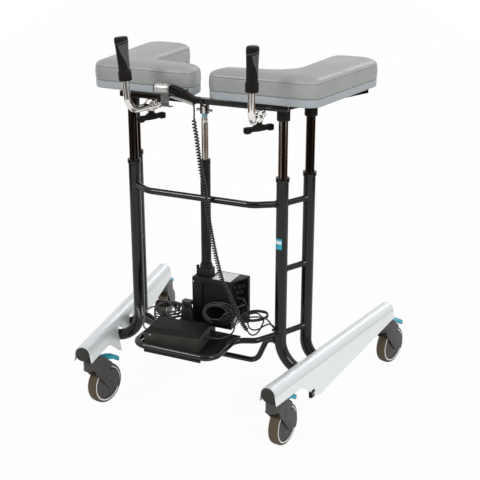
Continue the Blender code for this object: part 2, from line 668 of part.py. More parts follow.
def make_posts(finish):
    for side in SIDES:
        front_post = make_post("front_post_" + side, side, FRONT_POST, FRONT_BEND, finish)
        if side == "right":
            x, y = FRONT_POST[0] - 0.0090, FRONT_POST[1] - POST_RADIUS
            across, deep = CLIP_SIZE
            add(front_post, block((x - across / 2, y - 0.0130, CLIP_Z - deep),
                                  (x + across / 2, y + CLIP_SINK, CLIP_Z)))
        rear = make_post("rear_post_" + side, side, REAR_POST, REAR_BEND, finish)
        front = Vector((SIDES[side] * FRONT_POST[0], FRONT_POST[1], 0))
        back = Vector((SIDES[side] * REAR_POST[0], REAR_POST[1], 0))
        start = back.lerp(front, (POST_RADIUS - 0.002) / (back - front).length)
        for height in RUNG_HEIGHTS:
            up = Vector((0, 0, height))
            rung = rod_mesh(start + up, front + up, RUNG_RADIUS, 8)
            holder = link("rung", rung, None, None, CUTTERS)
            holder.hide_render = True
            holder.display_type = "WIRE"
            cut(holder, post_clearance(side, FRONT_POST))
            union = rear.modifiers.new("Rung", "BOOLEAN")
            union.operation = "UNION"
            union.object = holder


def make_inner_tube(name, side, post, parent, finish):
    x, y = SIDES[side] * post[0], post[1]
    tube = link(name, rod_mesh((x, y, INNER_BOTTOM), (x, y, CAP_BOTTOM - GAP),
                               INNER_RADIUS, 16), finish)
    tube.parent = parent
    smooth(tube)


def make_cross_tubes(finish):
    """Front rail, low tube that carries the actuator, and the tray's loop."""
    x, y = FRONT_POST
    reach = y - RAIL_REACH
    rail = link("front_rail", tube_mesh(bent([
        ((-x, y, RAIL_Z), 0), ((-RAIL_HALF, reach, RAIL_Z), RAIL_BEND),
        ((RAIL_HALF, reach, RAIL_Z), RAIL_BEND), ((x, y, RAIL_Z), 0)], 3),
        RAIL_RADIUS, 3), finish)
    elbow_x, elbow_z = LOW_TUBE_ELBOW
    low = link("low_cross_tube", tube_mesh(bent([
        ((-x, y, elbow_z), 0), ((-elbow_x, y, elbow_z), LOW_TUBE_ELBOW_BEND),
        ((-LOW_TUBE_HALF, y, LOW_TUBE_Z), LOW_TUBE_BEND),
        ((LOW_TUBE_HALF, y, LOW_TUBE_Z), LOW_TUBE_BEND),
        ((elbow_x, y, elbow_z), LOW_TUBE_ELBOW_BEND), ((x, y, elbow_z), 0)], 3),
        LOW_TUBE_RADIUS, 2), finish)
    add(low, block((-0.010, ACTUATOR_Y - 0.008, LOW_TUBE_Z),
                   (0.010, ACTUATOR_Y + 0.010, HOUSING_BOTTOM - GAP)))
    out_x, out_y = TRAY_STEP_OUT
    tray = link("tray_loop", tube_mesh(bent([
        ((-x, y, TRAY_JOIN_Z), 0), ((-out_x, out_y, TRAY_STEP_Z), TRAY_STEP_BEND),
        ((-TRAY_HALF, TRAY_STEP_Y, TRAY_Z), TRAY_STEP_BEND),
        ((-TRAY_HALF, TRAY_FRONT_Y, TRAY_Z), TRAY_BEND),
        ((TRAY_HALF, TRAY_FRONT_Y, TRAY_Z), TRAY_BEND),
        ((TRAY_HALF, TRAY_STEP_Y, TRAY_Z), TRAY_STEP_BEND),
        ((out_x, out_y, TRAY_STEP_Z), TRAY_STEP_BEND), ((x, y, TRAY_JOIN_Z), 0)], 3),
        TRAY_RADIUS, 2), finish)
    for side in SIDES:
        for tube in (rail, low, tray):
            cut(tube, post_clearance(side, FRONT_POST))
    for tube in (rail, low, tray):
        smooth(tube)


def make_tray_panel(finish):
    top = TRAY_Z - TRAY_RADIUS - GAP
    outline = rounded(((-PANEL_HALF, TRAY_FRONT_Y, PANEL_CORNER),
                       (PANEL_HALF, TRAY_FRONT_Y, PANEL_CORNER),
                       (PANEL_HALF, PANEL_BACK_Y, 0), (-PANEL_HALF, PANEL_BACK_Y, 0)), 4)
    panel = link("tray_panel", plate(outline, top - PANEL_THICKNESS, top, Matrix.Identity(4)),
                 finish)
    add(panel, block((-APRON_HALF, TRAY_FRONT_Y - 0.004, top - APRON_DEPTH),
                     (APRON_HALF, TRAY_FRONT_Y + 0.001, top)))


def make_charger(finish):
    length, depth, height = CHARGER_SIZE
    floor = TRAY_Z - TRAY_RADIUS
    build = bmesh.new()
    bmesh.ops.create_cube(build, size=1.0)
    build.transform(Matrix.Diagonal((length, depth, height, 1)))
    top = [edge for edge in build.edges if all(vert.co.z > 0 for vert in edge.verts)]
    bmesh.ops.bevel(build, geom=top, offset=CHARGER_HIP, segments=1, affect="EDGES")
    place = Matrix.Translation((*CHARGER_SPOT, floor + height / 2))
    body = link("charger", finish_mesh(build, place @ Matrix.Rotation(CHARGER_TURN, 4, "Z")),
                finish)
    for end in (-1, 1):
        place, direction = gland(end)
        add(body, rod_mesh(place - direction * (GLAND_LENGTH + 0.002), place, GLAND_RADIUS, 8))


# Casters: each turns about its own empty, trailing towards the rear
def fork_outline():
    """Head, saddle under the pedal's pin, then round inside the ring and up to the front."""
    front = -HEAD_RADIUS
    cover = [(TRAIL + COVER_RADIUS * math.cos(angle), WHEEL_RADIUS + COVER_RADIUS * math.sin(angle))
             for angle in map(math.radians, (88, 55, 25, -5, -35))]
    return [(front, 0.110), (front, 0.132), (-0.014, 0.1460), (0.014, 0.1460), (0.042, 0.1335),
            (0.0445, 0.1217), (0.0520, 0.1217), (0.0600, 0.1150), (TRAIL + 0.015, 0.1050),
            *cover, (TRAIL - 0.004, WHEEL_RADIUS - 0.015), (front, 0.098)]


def wheel_profile():
    """Half section: from the tread's middle down one side to the bore and back."""
    half, hub = WHEEL_WIDTH / 2, HUB_WIDTH / 2
    web = half - 0.0038
    bore = AXLE_RADIUS + RUNNING_GAP
    side = [(WHEEL_RADIUS, half * 0.45), (WHEEL_RADIUS - 0.0035, half), (RING_RADIUS, half),
            (RING_RADIUS - 0.0030, web), (0.0150, hub), (bore, hub)]
    return side[::-1] + [(radius, -height) for radius, height in side]


def make_caster(end, side, finishes):
    along = CASTER_FROM_FRONT if end == "front" else PROFILE_LENGTH - CASTER_FROM_REAR
    shift = -CASTER_INBOARD if end == "front" else 0.0
    axis = empty(f"swivel_{end}_{side}", on_profile(side, along, shift, 0), SWIVEL[end, side])
    fork = link(f"caster_fork_{end}_{side}",
                plate(fork_outline(), -FORK_WIDTH / 2, FORK_WIDTH / 2, ALONG_PLANE),
                finishes["plastic"], axis)
    slot = rod_mesh((-SLOT_WIDTH / 2, TRAIL, WHEEL_RADIUS), (SLOT_WIDTH / 2, TRAIL, WHEEL_RADIUS),
                    SLOT_RADIUS, 22)
    cut(fork, slot)
    reach = FORK_WIDTH / 2 - 0.001
    add(fork, rod_mesh((-reach, TRAIL, WHEEL_RADIUS), (reach, TRAIL, WHEEL_RADIUS),
                       AXLE_RADIUS, 8))
    add(fork, rod_mesh((0, 0, HEAD_TOP - 0.008), (0, 0, HEAD_TOP), HEAD_RADIUS - 0.0005, 16))
    add(fork, rod_mesh((0, 0, HEAD_TOP - 0.004), (0, 0, STEM_TOP), STEM_RADIUS, 10))

    hub = empty(f"axle_{end}_{side}", (0, TRAIL, WHEEL_RADIUS), parent=axis)
    wheel = turned(f"wheel_{end}_{side}", wheel_profile(), 20, finishes["tread"], hub)
    wheel.rotation_euler.y = math.pi / 2

    pivot = empty(f"brake_pivot_{end}_{side}", (0, *PEDAL_PIVOT), parent=axis)
    tilt = Matrix.Rotation(PEDAL_TILT, 4, "X")
    half = PEDAL_WIDTH / 2
    lever = rounded(((-half, -0.002, 0.002), (half, -0.002, 0.002),
                     (half * 0.92, PEDAL_LENGTH, 0.010), (-half * 0.92, PEDAL_LENGTH, 0.010)), 3)
    pedal = link(f"brake_pedal_{end}_{side}",
                 plate(lever, -PEDAL_THICKNESS / 2, PEDAL_THICKNESS / 2, tilt),
                 finishes["pedal"], pivot)
    add(pedal, rod_mesh((-half * 0.8, 0, 0), (half * 0.8, 0, 0), PEDAL_PIN, 10))


def make_actuator(finishes, lift):
    half_x, half_y = HOUSING_SIZE[0] / 2, HOUSING_SIZE[1] / 2
    outer = link("actuator_body", block((-half_x, ACTUATOR_Y - half_y, HOUSING_BOTTOM),
                                        (half_x, ACTUATOR_Y + half_y, HOUSING_TOP)),
                 finishes["plastic"])
    add(outer, rod_mesh((0, ACTUATOR_Y, HOUSING_TOP - 0.01), (0, ACTUATOR_Y, ACTUATOR_TOP),
                        ACTUATOR_RADIUS, 16))
    cut(outer, rod_mesh((0, ACTUATOR_Y, ROD_BOTTOM - LIFT_DOWN - 0.005),
                        (0, ACTUATOR_Y, ACTUATOR_TOP + 0.01), ROD_BORE, 12))
    smooth(outer)
    rod = link("actuator_rod", rod_mesh((0, ACTUATOR_Y, ROD_BOTTOM), (0, ACTUATOR_Y, ROD_SHOULDER),
                                        ROD_RADIUS, 16), finishes["chrome"], lift)
    add(rod, block((-EYE_WIDTH / 2, ACTUATOR_Y - EYE_HALF_DEPTH, ROD_SHOULDER - 0.004),
                   (EYE_WIDTH / 2, ACTUATOR_Y + EYE_HALF_DEPTH, EYE_TOP)))
    cut(rod, rod_mesh((-0.02, ACTUATOR_Y, PIN_Z), (0.02, ACTUATOR_Y, PIN_Z),
                      PIN_RADIUS + GAP, 10))
    smooth(rod)
    pin = link("lift_pin", rod_mesh((-PIN_HALF, ACTUATOR_Y, PIN_Z), (PIN_HALF, ACTUATOR_Y, PIN_Z),
                                    PIN_RADIUS, 10), finishes["steel"], lift)
    add(pin, rod_mesh((-PIN_HALF - 0.0015, ACTUATOR_Y, PIN_Z), (-PIN_HALF + 0.001, ACTUATOR_Y, PIN_Z),
                      PIN_RADIUS + 0.002, 10))


def make_control_box(finish):
    """Box with a well behind for the housing, a back plate that stands out, and two boots."""
    body = link("control_box", block((BOX_LEFT, BOX_FRONT_Y, BOX_BOTTOM),
                                     (BOX_RIGHT, BOX_BACK_Y, BOX_TOP)), finish)
    add(body, block((BOX_RIGHT - 0.004, BOX_BACK_Y - PLATE_THICKNESS, BOX_BOTTOM),
                    (PLATE_RIGHT, BOX_BACK_Y, BOX_TOP)))
    well = HOUSING_SIZE[0] / 2 + GAP
    cut(body, block((-well, ACTUATOR_Y - HOUSING_SIZE[1] / 2 - GAP, BOX_BOTTOM - 0.01),
                    (well, BOX_BACK_Y + 0.01, BOX_TOP + 0.01)))
    left, right, bottom, top = RECESS
    cut(body, block((left, BOX_FRONT_Y - 0.01, bottom), (right, BOX_FRONT_Y + RECESS_DEPTH, top)))
    front, back = SOCKET_YS
    low, high = SOCKET_ZS
    for y, z in ((front, low), (back, high)):
        cut(body, rod_mesh((BOX_RIGHT - SOCKET_DEPTH, y, z), (BOX_RIGHT + 0.01, y, z),
                           SOCKET_RADIUS, 10))
    for y, z in ((front, high), (back, low)):
        add(body, rod_mesh((BOX_RIGHT - 0.002, y, z), (BOX_RIGHT + BOOT_LENGTH, y, z),
                           SOCKET_RADIUS - 0.001, 10))


# Upper frame: everything that the actuator lifts
def arm_matrix(side):
    """Frame at a front post: +Y along the arm towards the rear."""
    start = Vector((SIDES[side] * FRONT_POST[0], FRONT_POST[1]))
    end = Vector((SIDES[side] * ARM_END[0], ARM_END[1]))
    turn = math.atan2(-(end.x - start.x), end.y - start.y)
    return (Matrix.Translation((*start, 0)) @ Matrix.Rotation(turn, 4, "Z"),
            (end - start).length)


def make_upper_frame(finish, lift):
    frame = link("upper_frame", block(
        (-CROSSBAR_HALF, CROSSBAR_Y - CROSSBAR_DEPTH / 2, FRAME_BOTTOM),
        (CROSSBAR_HALF, CROSSBAR_Y + CROSSBAR_DEPTH / 2, FRAME_TOP)), finish, lift)
    for side in SIDES:
        matrix, length = arm_matrix(side)
        add(frame, block((-ARM_WIDTH / 2, -0.012, FRAME_BOTTOM),
                         (ARM_WIDTH / 2, length, FRAME_TOP), matrix))
        for x, y in (FRONT_POST, REAR_POST):
            x *= SIDES[side]
            add(frame, rod_mesh((x, y, CAP_BOTTOM), (x, y, FRAME_BOTTOM + 0.004), CAP_RADIUS, 16))
        inner = SIDES[side] * LUG_HALF
        outer = SIDES[side] * (LUG_HALF + LUG_THICKNESS)
        low, high = sorted((inner, outer))
        lug = block((low, ACTUATOR_Y - 0.008, PIN_Z - 0.009), (high, ACTUATOR_Y + 0.008,
                                                              FRAME_BOTTOM + 0.004))
        add(frame, lug)
    cut(frame, rod_mesh((-0.03, ACTUATOR_Y, PIN_Z), (0.03, ACTUATOR_Y, PIN_Z),
                        PIN_RADIUS + GAP, 10))


def drawn_in(corners, inset):
    """The outline's corners moved inwards; outer bends tighten and the inner one opens."""
    count = len(corners)
    drawn = []
    for index, (x, y, radius) in enumerate(corners):
        corner = Vector((x, y))
        before = (corner - Vector(corners[index - 1][:2])).normalized()
        after = (Vector(corners[(index + 1) % count][:2]) - corner).normalized()
        inward = Vector((-before.y - after.y, before.x + after.x)).normalized()
        reach = inset / (before.x * inward.y - before.y * inward.x)
        outer = before.x * after.y > before.y * after.x
        radius = max(radius - inset, 0.004) if outer else radius + inset
        drawn.append((*(corner + inward * reach), radius))
    return drawn


def make_pad(side, finish, lift):
    """Crowned cushion: rings of one outline drawn inwards as they climb."""
    build = bmesh.new()
    rings = []
    for inset, height in PAD_LEVELS:
        outline = rounded(drawn_in(PAD_CORNERS, inset), 4)
        rings.append([build.verts.new((SIDES[side] * spot.x, spot.y, PAD_BOTTOM + height))
                      for spot in outline])
    count = len(outline)
    for lower, upper in zip(rings, rings[1:]):
        for index in range(count):
            after = (index + 1) % count
            build.faces.new((lower[index], lower[after], upper[after], upper[index]))
    build.faces.new(rings[0][::-1])
    build.faces.new(rings[-1])
    pivot = Matrix.Translation((0, PAD_TURN_ABOUT, 0))
    turn = pivot @ Matrix.Rotation(PAD_TURN[side], 4, "Z") @ pivot.inverted()
    smooth(link("forearm_pad_" + side, finish_mesh(build, turn), finish, lift), 40)


def make_handle(side, finishes, lift):
    x = HANDLE_X[side]
    base = empty("handle_" + side, (x, CLAMP_Y, HANDLE_LEG_Z), HANDLE_TOE[side], lift)
    base.rotation_euler.y = HANDLE_LEAN[side]
    top = GRIP_LEVELS[-1][0] - 0.012
    route = bent([((0, -HANDLE_AHEAD, top), 0), ((0, -HANDLE_AHEAD, 0), HANDLE_BEND),
                  ((0, HANDLE_BEHIND, 0), 0)], 6)
    tube = link("handle_tube_" + side, tube_mesh(route, HANDLE_RADIUS, 3),
                finishes["chrome"], base)
    smooth(tube)
    grip = link("grip_" + side, loft_oval(GRIP_LEVELS, 12), finishes["rubber"], base)
    grip.location.y = -HANDLE_AHEAD
    cut(grip, rod_mesh((0, 0, GRIP_LEVELS[0][0] - 0.01), (0, 0, top + 0.001),
                       HANDLE_RADIUS + GAP, 12))
    smooth(grip)

    across, deep = CLAMP_SIZE[0] / 2, CLAMP_SIZE[1] / 2
    turn = Matrix.Translation((x, CLAMP_Y, 0)) @ Matrix.Rotation(HANDLE_TOE[side], 4, "Z")
    clamp = link("handle_clamp_" + side, block(
        (-across, -deep, CLAMP_BOTTOM), (across, deep, FRAME_BOTTOM - GAP), turn),
        finishes["chrome"], lift)
    bevel = clamp.modifiers.new("Edges", "BEVEL")
    bevel.width = 0.004
    bevel.segments = 1
    cut(clamp, rod_mesh(turn @ Vector((0, -0.03, HANDLE_LEG_Z)),
                        turn @ Vector((0, 0.03, HANDLE_LEG_Z)), HANDLE_RADIUS + RUNNING_GAP, 12))
    cut(clamp, rod_mesh((x, CLAMP_Y, CLAMP_BOTTOM - 0.01), (x, CLAMP_Y, HANDLE_LEG_Z),
                        KNOB_SCREW + 0.0006, 10))

    screw = empty("knob_axis_" + side, (x, CLAMP_Y, KNOB_Z), KNOB_TURN[side], lift)
    (wing, half), (bend, waist) = KNOB_END, KNOB_WAIST
    outline = [(-wing, -half), (-bend, -waist), (bend, -waist), (wing, -half),
               (wing, half), (bend, waist), (-bend, waist), (-wing, half)]
    knob = link("clamp_knob_" + side, plate(outline, -KNOB_THICKNESS / 2, KNOB_THICKNESS / 2,
                                            Matrix.Identity(4)), finishes["rubber"], screw)
    add(knob, rod_mesh((0, 0, 0), (0, 0, CLAMP_BOTTOM - KNOB_Z - GAP), KNOB_HUB, 10))
    reach = HANDLE_LEG_Z - HANDLE_RADIUS - GAP - KNOB_Z
    add(knob, rod_mesh((0, 0, 0.004), (0, 0, reach), KNOB_SCREW, 8))


def loft_oval(levels, sides):
    """Closed body through level ovals (height, half width, half depth)."""
    build = bmesh.new()
    rings = []
    for height, wide, deep in levels:
        rings.append([build.verts.new((wide * math.cos(2 * math.pi * step / sides),
                                       deep * math.sin(2 * math.pi * step / sides), height))
                      for step in range(sides)])
    for lower, upper in zip(rings, rings[1:]):
        for index in range(sides):
            after = (index + 1) % sides
            build.faces.new((lower[index], lower[after], upper[after], upper[index]))
    build.faces.new(rings[0][::-1])
    build.faces.new(rings[-1])
    return finish_mesh(build)


def make_handset(finishes, lift):
    """Silver housing with two keys, the black body behind it, and the grey bracket."""
    left, right = SHELL_X
    shell = link("handset_shell", rod_mesh((left, HANDSET_Y, SHELL_Z), (right, HANDSET_Y, SHELL_Z),
                                           SHELL_RADIUS, 16), finishes["silver"], lift)
    for key_x in KEY_XS:
        cut(shell, rod_mesh((key_x, HANDSET_Y, SHELL_Z + SHELL_RADIUS - 0.004),
                            (key_x, HANDSET_Y, SHELL_Z + 0.03), KEY_RADIUS + GAP, 10))
    smooth(shell)
    for key_x, name in zip(KEY_XS, ("handset_key_up", "handset_key_down")):
        spot = empty(name + "_axis", (key_x, HANDSET_Y, SHELL_Z + SHELL_RADIUS - 0.0025),
                     parent=lift)
        link(name, rod_mesh((0, 0, 0), (0, 0, 0.0025 + KEY_HEIGHT), KEY_RADIUS, 12),
             finishes["pedal"], spot)
    start, end = right + GAP, HANDSET_END_X
    drop = HANDSET_DROP
    outline = [(start, SHELL_Z - 0.011), (-0.030, SHELL_Z - 0.020), (end, SHELL_Z - drop - 0.013),
               (end, SHELL_Z - drop + 0.003), (-0.028, SHELL_Z + 0.002),
               (-0.052, SHELL_Z + 0.0095), (start, SHELL_Z + 0.011)]
    half = HANDSET_DEPTH / 2
    body = link("handset_body", plate(outline, -HANDSET_Y - half, -HANDSET_Y + half,
                                      FACING_PLANE), finishes["rubber"], lift)
    x, y, z = CURLY_TOP
    add(body, rod_mesh((x, y, z + 0.008), (x, y, z), WIRE_RADIUS + 0.0014, 10))
    low, high = HOOK_X
    back = HANDSET_Y + SHELL_RADIUS + GAP
    hook = link("handset_hook", block((low, back, HOOK_BOTTOM), (high, back + HOOK_THICKNESS,
                                                                 HOOK_TOP)),
                finishes["grey"], lift)
    add(hook, block((low + 0.002, back - 0.010, HOOK_BOTTOM),
                    (high + 0.012, back + 0.001, HOOK_BOTTOM + HOOK_THICKNESS)))
    face = CROSSBAR_Y - CROSSBAR_DEPTH / 2 - GAP
    add(hook, block((low + 0.004, back + 0.001, FRAME_BOTTOM + 0.001),
                    (high - 0.004, face, FRAME_TOP - 0.002)))


# Cords
def least_gap(name, points, radius):
    """Print the smallest clearance between stretches of a wound cord."""
    places = np.array([tuple(point) for point in points])
    run = np.concatenate(([0], np.cumsum(np.linalg.norm(np.diff(places, axis=0), axis=1))))
    apart = np.abs(run[:, None] - run[None, :]) > 5 * radius
    distance = np.linalg.norm(places[:, None] - places[None, :], axis=2)
    print(f"{name}: least gap to itself {1000 * (distance[apart].min() - 2 * radius):.2f} mm")


def make_cord(name, points, finish, wound=False):
    link(name, tube_mesh(points, WIRE_RADIUS, 1 if wound else 2), finish)
    if wound:
        least_gap(name, points, WIRE_RADIUS)


def leave(points, towards=-1):
    """The place a gap beyond an end of a cord, and the direction it points in."""
    end, before = (points[-1], points[-2]) if towards < 0 else (points[0], points[1])
    direction = (end - before).normalized()
    return end + direction * GAP, direction


def straight_start(place, direction):
    """First two points of a cord that leaves a face squarely."""
    return [Vector(place), Vector(place) + Vector(direction) * WIRE_RADIUS * 2]


def curly_points():
    """Straight wire down from the handset, then the helix, then a straight end."""
    top = Vector(CURLY_TOP) - Vector((0, 0, GAP))
    lead_in = [top, *(Vector(place) for place in CURLY_LEAD_IN)]
    spine = flow(CURLY_SPINE, 0.004)
    run = np.concatenate(([0], np.cumsum([(b - a).length for a, b in zip(spine, spine[1:])])))
    places = np.array([tuple(place) for place in spine])
    count = CURL_COUNT * CURL_POINTS
    along = np.linspace(0, run[-1], count + 1)
    middles = np.stack([np.interp(along, run, places[:, axis]) for axis in range(3)], axis=1)
    points = lead_in
    for step, middle in enumerate(middles):
        low, high = max(step - CURL_POINTS, 0), min(step + CURL_POINTS, count)
        tangent = Vector(middles[high] - middles[low]).normalized()
        across = Vector((0, 1, 0)).cross(tangent).normalized()
        other = tangent.cross(across)
        ramp = min(1.0, step / (CURL_POINTS / 2), (count - step) / (CURL_POINTS / 2))
        angle = 2 * math.pi * step / CURL_POINTS
        points.append(Vector(middle) + (across * math.cos(angle) + other * math.sin(angle))
                      * CURL_RADIUS * ramp)
    points.append(points[-1] + tangent * WIRE_RADIUS * 2)
    return points


def hank_points(shape):
    """Oval loops on top of each other; each climbs to the next along its upper run."""
    rise, lean = shape["rise"], shape["lean"]
    run = Vector((math.cos(rise), 0, math.sin(rise)))
    across = Vector((0, math.cos(lean), math.sin(lean)))
    normal = run.cross(across)
    count = round(shape["turns"] * HANK_POINTS)
    middle = Vector(shape["centre"]) - normal * HANK_STEP * shape["turns"] / 2
    points = []
    for step in range(count + 1):
        angle = shape["start"] + shape["spin"] * 2 * math.pi * step / HANK_POINTS
        turn, share = divmod(step / HANK_POINTS, 1.0)
        climb = turn + min(1.0, 2 * share)
        width = shape["half_width"] * (1 - shape["waist"] * math.exp(-(math.cos(angle) / 0.4) ** 2))
        points.append(middle + run * shape["half_run"] * math.cos(angle)
                      + across * width * math.sin(angle) + normal * HANK_STEP * climb)
    return points


def gland(end):
    """Middle of the face where a lead leaves the charger, and its direction."""
    turn = Matrix.Rotation(CHARGER_TURN, 3, "Z")
    length, _, height = CHARGER_SIZE
    middle = Vector((*CHARGER_SPOT, TRAY_Z - TRAY_RADIUS + height / 2))
    direction = turn @ Vector((end, 0, 0))
    return middle + direction * (length / 2 + GLAND_LENGTH), direction


def make_cords(finish):
    curly = curly_points()
    make_cord("curly_cord", curly, finish, wound=True)

    handset_hank = hank_points(HANDSET_HANK)
    first, out = leave(curly)
    last, back = leave(handset_hank, 1)
    lead = [*straight_start(first, out), *HANDSET_LEAD, *reversed(straight_start(last, back))]
    make_cord("handset_lead", flow(lead, 0.010, straight_ends=True), finish)
    make_cord("handset_hank", handset_hank, finish, wound=True)

    first, out = leave(handset_hank)
    socket = Vector((BOX_RIGHT + BOOT_LENGTH + GAP, SOCKET_YS[0], SOCKET_ZS[1]))
    lead = [*straight_start(first, out), *POST_LEAD,
            *reversed(straight_start(socket, (1, 0, 0)))]
    make_cord("post_lead", flow(lead, 0.010, straight_ends=True), finish)

    socket = Vector((BOX_RIGHT + BOOT_LENGTH + GAP, SOCKET_YS[1], SOCKET_ZS[0]))
    make_hanked_cord("output_hank", OUTPUT_HANK, gland(1), OUTPUT_START, OUTPUT_END,
                     (socket, (1, 0, 0)), finish)
    inlet = Vector((PLUG_SPOT[0], PLUG_SPOT[1] + PLUG_STUB + GAP,
                    TRAY_Z - TRAY_RADIUS + PLUG_INLET_Z))
    make_hanked_cord("mains_hank", MAINS_HANK, gland(-1), MAINS_START, MAINS_END,
                     (inlet, (0, 1, 0)), finish)


def make_hanked_cord(name, shape, leaves, before, after, meets, finish):
    """One cord: from the face it leaves, round its hank, to the face it meets."""
    place, out = leaves
    hank = hank_points(shape)
    first = [*straight_start(place + out * GAP, out), *before, *hank[:2]]
    last = [*hank[-2:], *after, *reversed(straight_start(*meets))]
    make_cord(name, flow(first, 0.009, True)[:-1] + hank[1:-1] + flow(last, 0.009, True)[1:],
              finish, wound=True)


def make_plug(finish):
    floor = TRAY_Z - TRAY_RADIUS
    plug = link("mains_plug", loft_oval(PLUG_LEVELS, 12), finish)
    plug.location = (*PLUG_SPOT, floor)
    add(plug, rod_mesh((0, 0, PLUG_INLET_Z), (0, PLUG_STUB, PLUG_INLET_Z),
                       WIRE_RADIUS + 0.001, 8))


def main():
    clear_scene()
    finishes = {
        "black": material("black_paint", (0.012, 0.012, 0.013), 0.25),
        "aluminium": material("anodised_aluminium", (0.62, 0.64, 0.66), 0.32, 1.0),
        "plastic": material("dark_plastic", (0.045, 0.043, 0.042), 0.45),
        "tread": material("tyre_rubber", (0.105, 0.082, 0.063), 0.7),
        "pedal": material("turquoise_plastic", (0.0, 0.36, 0.45), 0.4),
        "chrome": material("chrome", (0.75, 0.75, 0.76), 0.08, 1.0),
        "steel": material("zinc_steel", (0.55, 0.56, 0.58), 0.35, 1.0),
        "pad": material("grey_vinyl", (0.36, 0.38, 0.39), 0.45),
        "rubber": material("grip_rubber", (0.018, 0.017, 0.016), 0.6),
        "silver": material("silver_shell", (0.60, 0.58, 0.56), 0.25, 1.0),
        "grey": material("grey_plastic", (0.24, 0.23, 0.22), 0.5),
        "cord": material("cord_jacket", (0.012, 0.012, 0.012), 0.5),
    }
    for side in SIDES:
        base = make_profile(side, finishes["aluminium"])
        make_profile_caps(side, base, finishes["plastic"])
        make_stop(side, base, finishes["plastic"])
        for end in ("front", "rear"):
            make_caster(end, side, finishes)
    make_posts(finishes["black"])
    make_cross_tubes(finishes["black"])
    make_tray_panel(finishes["black"])
    make_charger(finishes["plastic"])
    lift = empty("lift", (0, 0, 0))
    make_actuator(finishes, lift)
    make_control_box(finishes["plastic"])
    make_upper_frame(finishes["black"], lift)
    for side in SIDES:
        for name, post in (("front", FRONT_POST), ("rear", REAR_POST)):
            make_inner_tube(f"{name}_inner_tube_{side}", side, post, lift, finishes["chrome"])
        make_pad(side, finishes["pad"], lift)
        make_handle(side, finishes, lift)
    make_handset(finishes, lift)
    make_cords(finishes["cord"])
    make_plug(finishes["rubber"])


WALKER = bpy.data.collections.new("walker")
CUTTERS = bpy.data.collections.new("cutters")
bpy.context.scene.collection.children.link(WALKER)
bpy.context.scene.collection.children.link(CUTTERS)
main()
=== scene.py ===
# Forearm-support walker with a powered lift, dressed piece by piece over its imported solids.
# Metres, +Z up; the person walks in from +Y. Each section holds one group of like pieces.
import json
import math

import bmesh
import bpy
import numpy as np
from mathutils import Matrix, Vector

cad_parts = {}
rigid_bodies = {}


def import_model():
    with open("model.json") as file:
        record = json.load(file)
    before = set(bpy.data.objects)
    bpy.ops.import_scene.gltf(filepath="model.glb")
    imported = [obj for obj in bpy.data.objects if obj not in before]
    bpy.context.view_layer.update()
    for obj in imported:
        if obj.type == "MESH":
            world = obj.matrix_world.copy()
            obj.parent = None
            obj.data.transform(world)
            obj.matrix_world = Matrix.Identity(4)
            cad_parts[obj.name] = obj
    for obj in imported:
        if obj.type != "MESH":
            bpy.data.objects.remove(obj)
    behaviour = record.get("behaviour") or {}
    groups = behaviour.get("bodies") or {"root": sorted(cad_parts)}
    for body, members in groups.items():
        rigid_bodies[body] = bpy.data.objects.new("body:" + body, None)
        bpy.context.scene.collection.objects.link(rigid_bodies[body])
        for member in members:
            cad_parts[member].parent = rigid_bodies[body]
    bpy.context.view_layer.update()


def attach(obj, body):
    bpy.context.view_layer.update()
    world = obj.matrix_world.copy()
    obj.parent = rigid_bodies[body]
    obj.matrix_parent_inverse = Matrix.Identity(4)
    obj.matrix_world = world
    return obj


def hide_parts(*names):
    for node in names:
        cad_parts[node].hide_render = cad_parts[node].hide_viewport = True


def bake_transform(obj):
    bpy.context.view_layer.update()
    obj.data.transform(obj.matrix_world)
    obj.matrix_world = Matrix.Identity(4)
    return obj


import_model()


# Studio: a long lens above the pads, a white floor that ends beside the walker, three soft
# suns and white air. What chrome and gloss black mirror is dark behind the camera and a warm
# brown low at the sides, so they show dark and brown lines between white edges.
class Signal:
    """A value or colour inside a finish; sums written with it add their own nodes."""

    def __init__(self, finish, socket):
        self.finish, self.socket = finish, socket

    def joined(self, operation, first, second=0.0):
        return self.finish.node("Math", {"operation": operation}, {0: first, 1: second})

    def wave(self, period):
        return self.joined("SINE", self * (math.tau / period))

    def __add__(self, other):
        return self.joined("ADD", self, other)

    def __sub__(self, other):
        return self.joined("SUBTRACT", self, other)

    def __rsub__(self, other):
        return self.joined("SUBTRACT", other, self)

    def __mul__(self, other):
        return self.joined("MULTIPLY", self, other)

    def __gt__(self, other):
        return self.joined("GREATER_THAN", self, other)

    def __lt__(self, other):
        return self.joined("LESS_THAN", self, other)

    __radd__, __rmul__ = __add__, __mul__


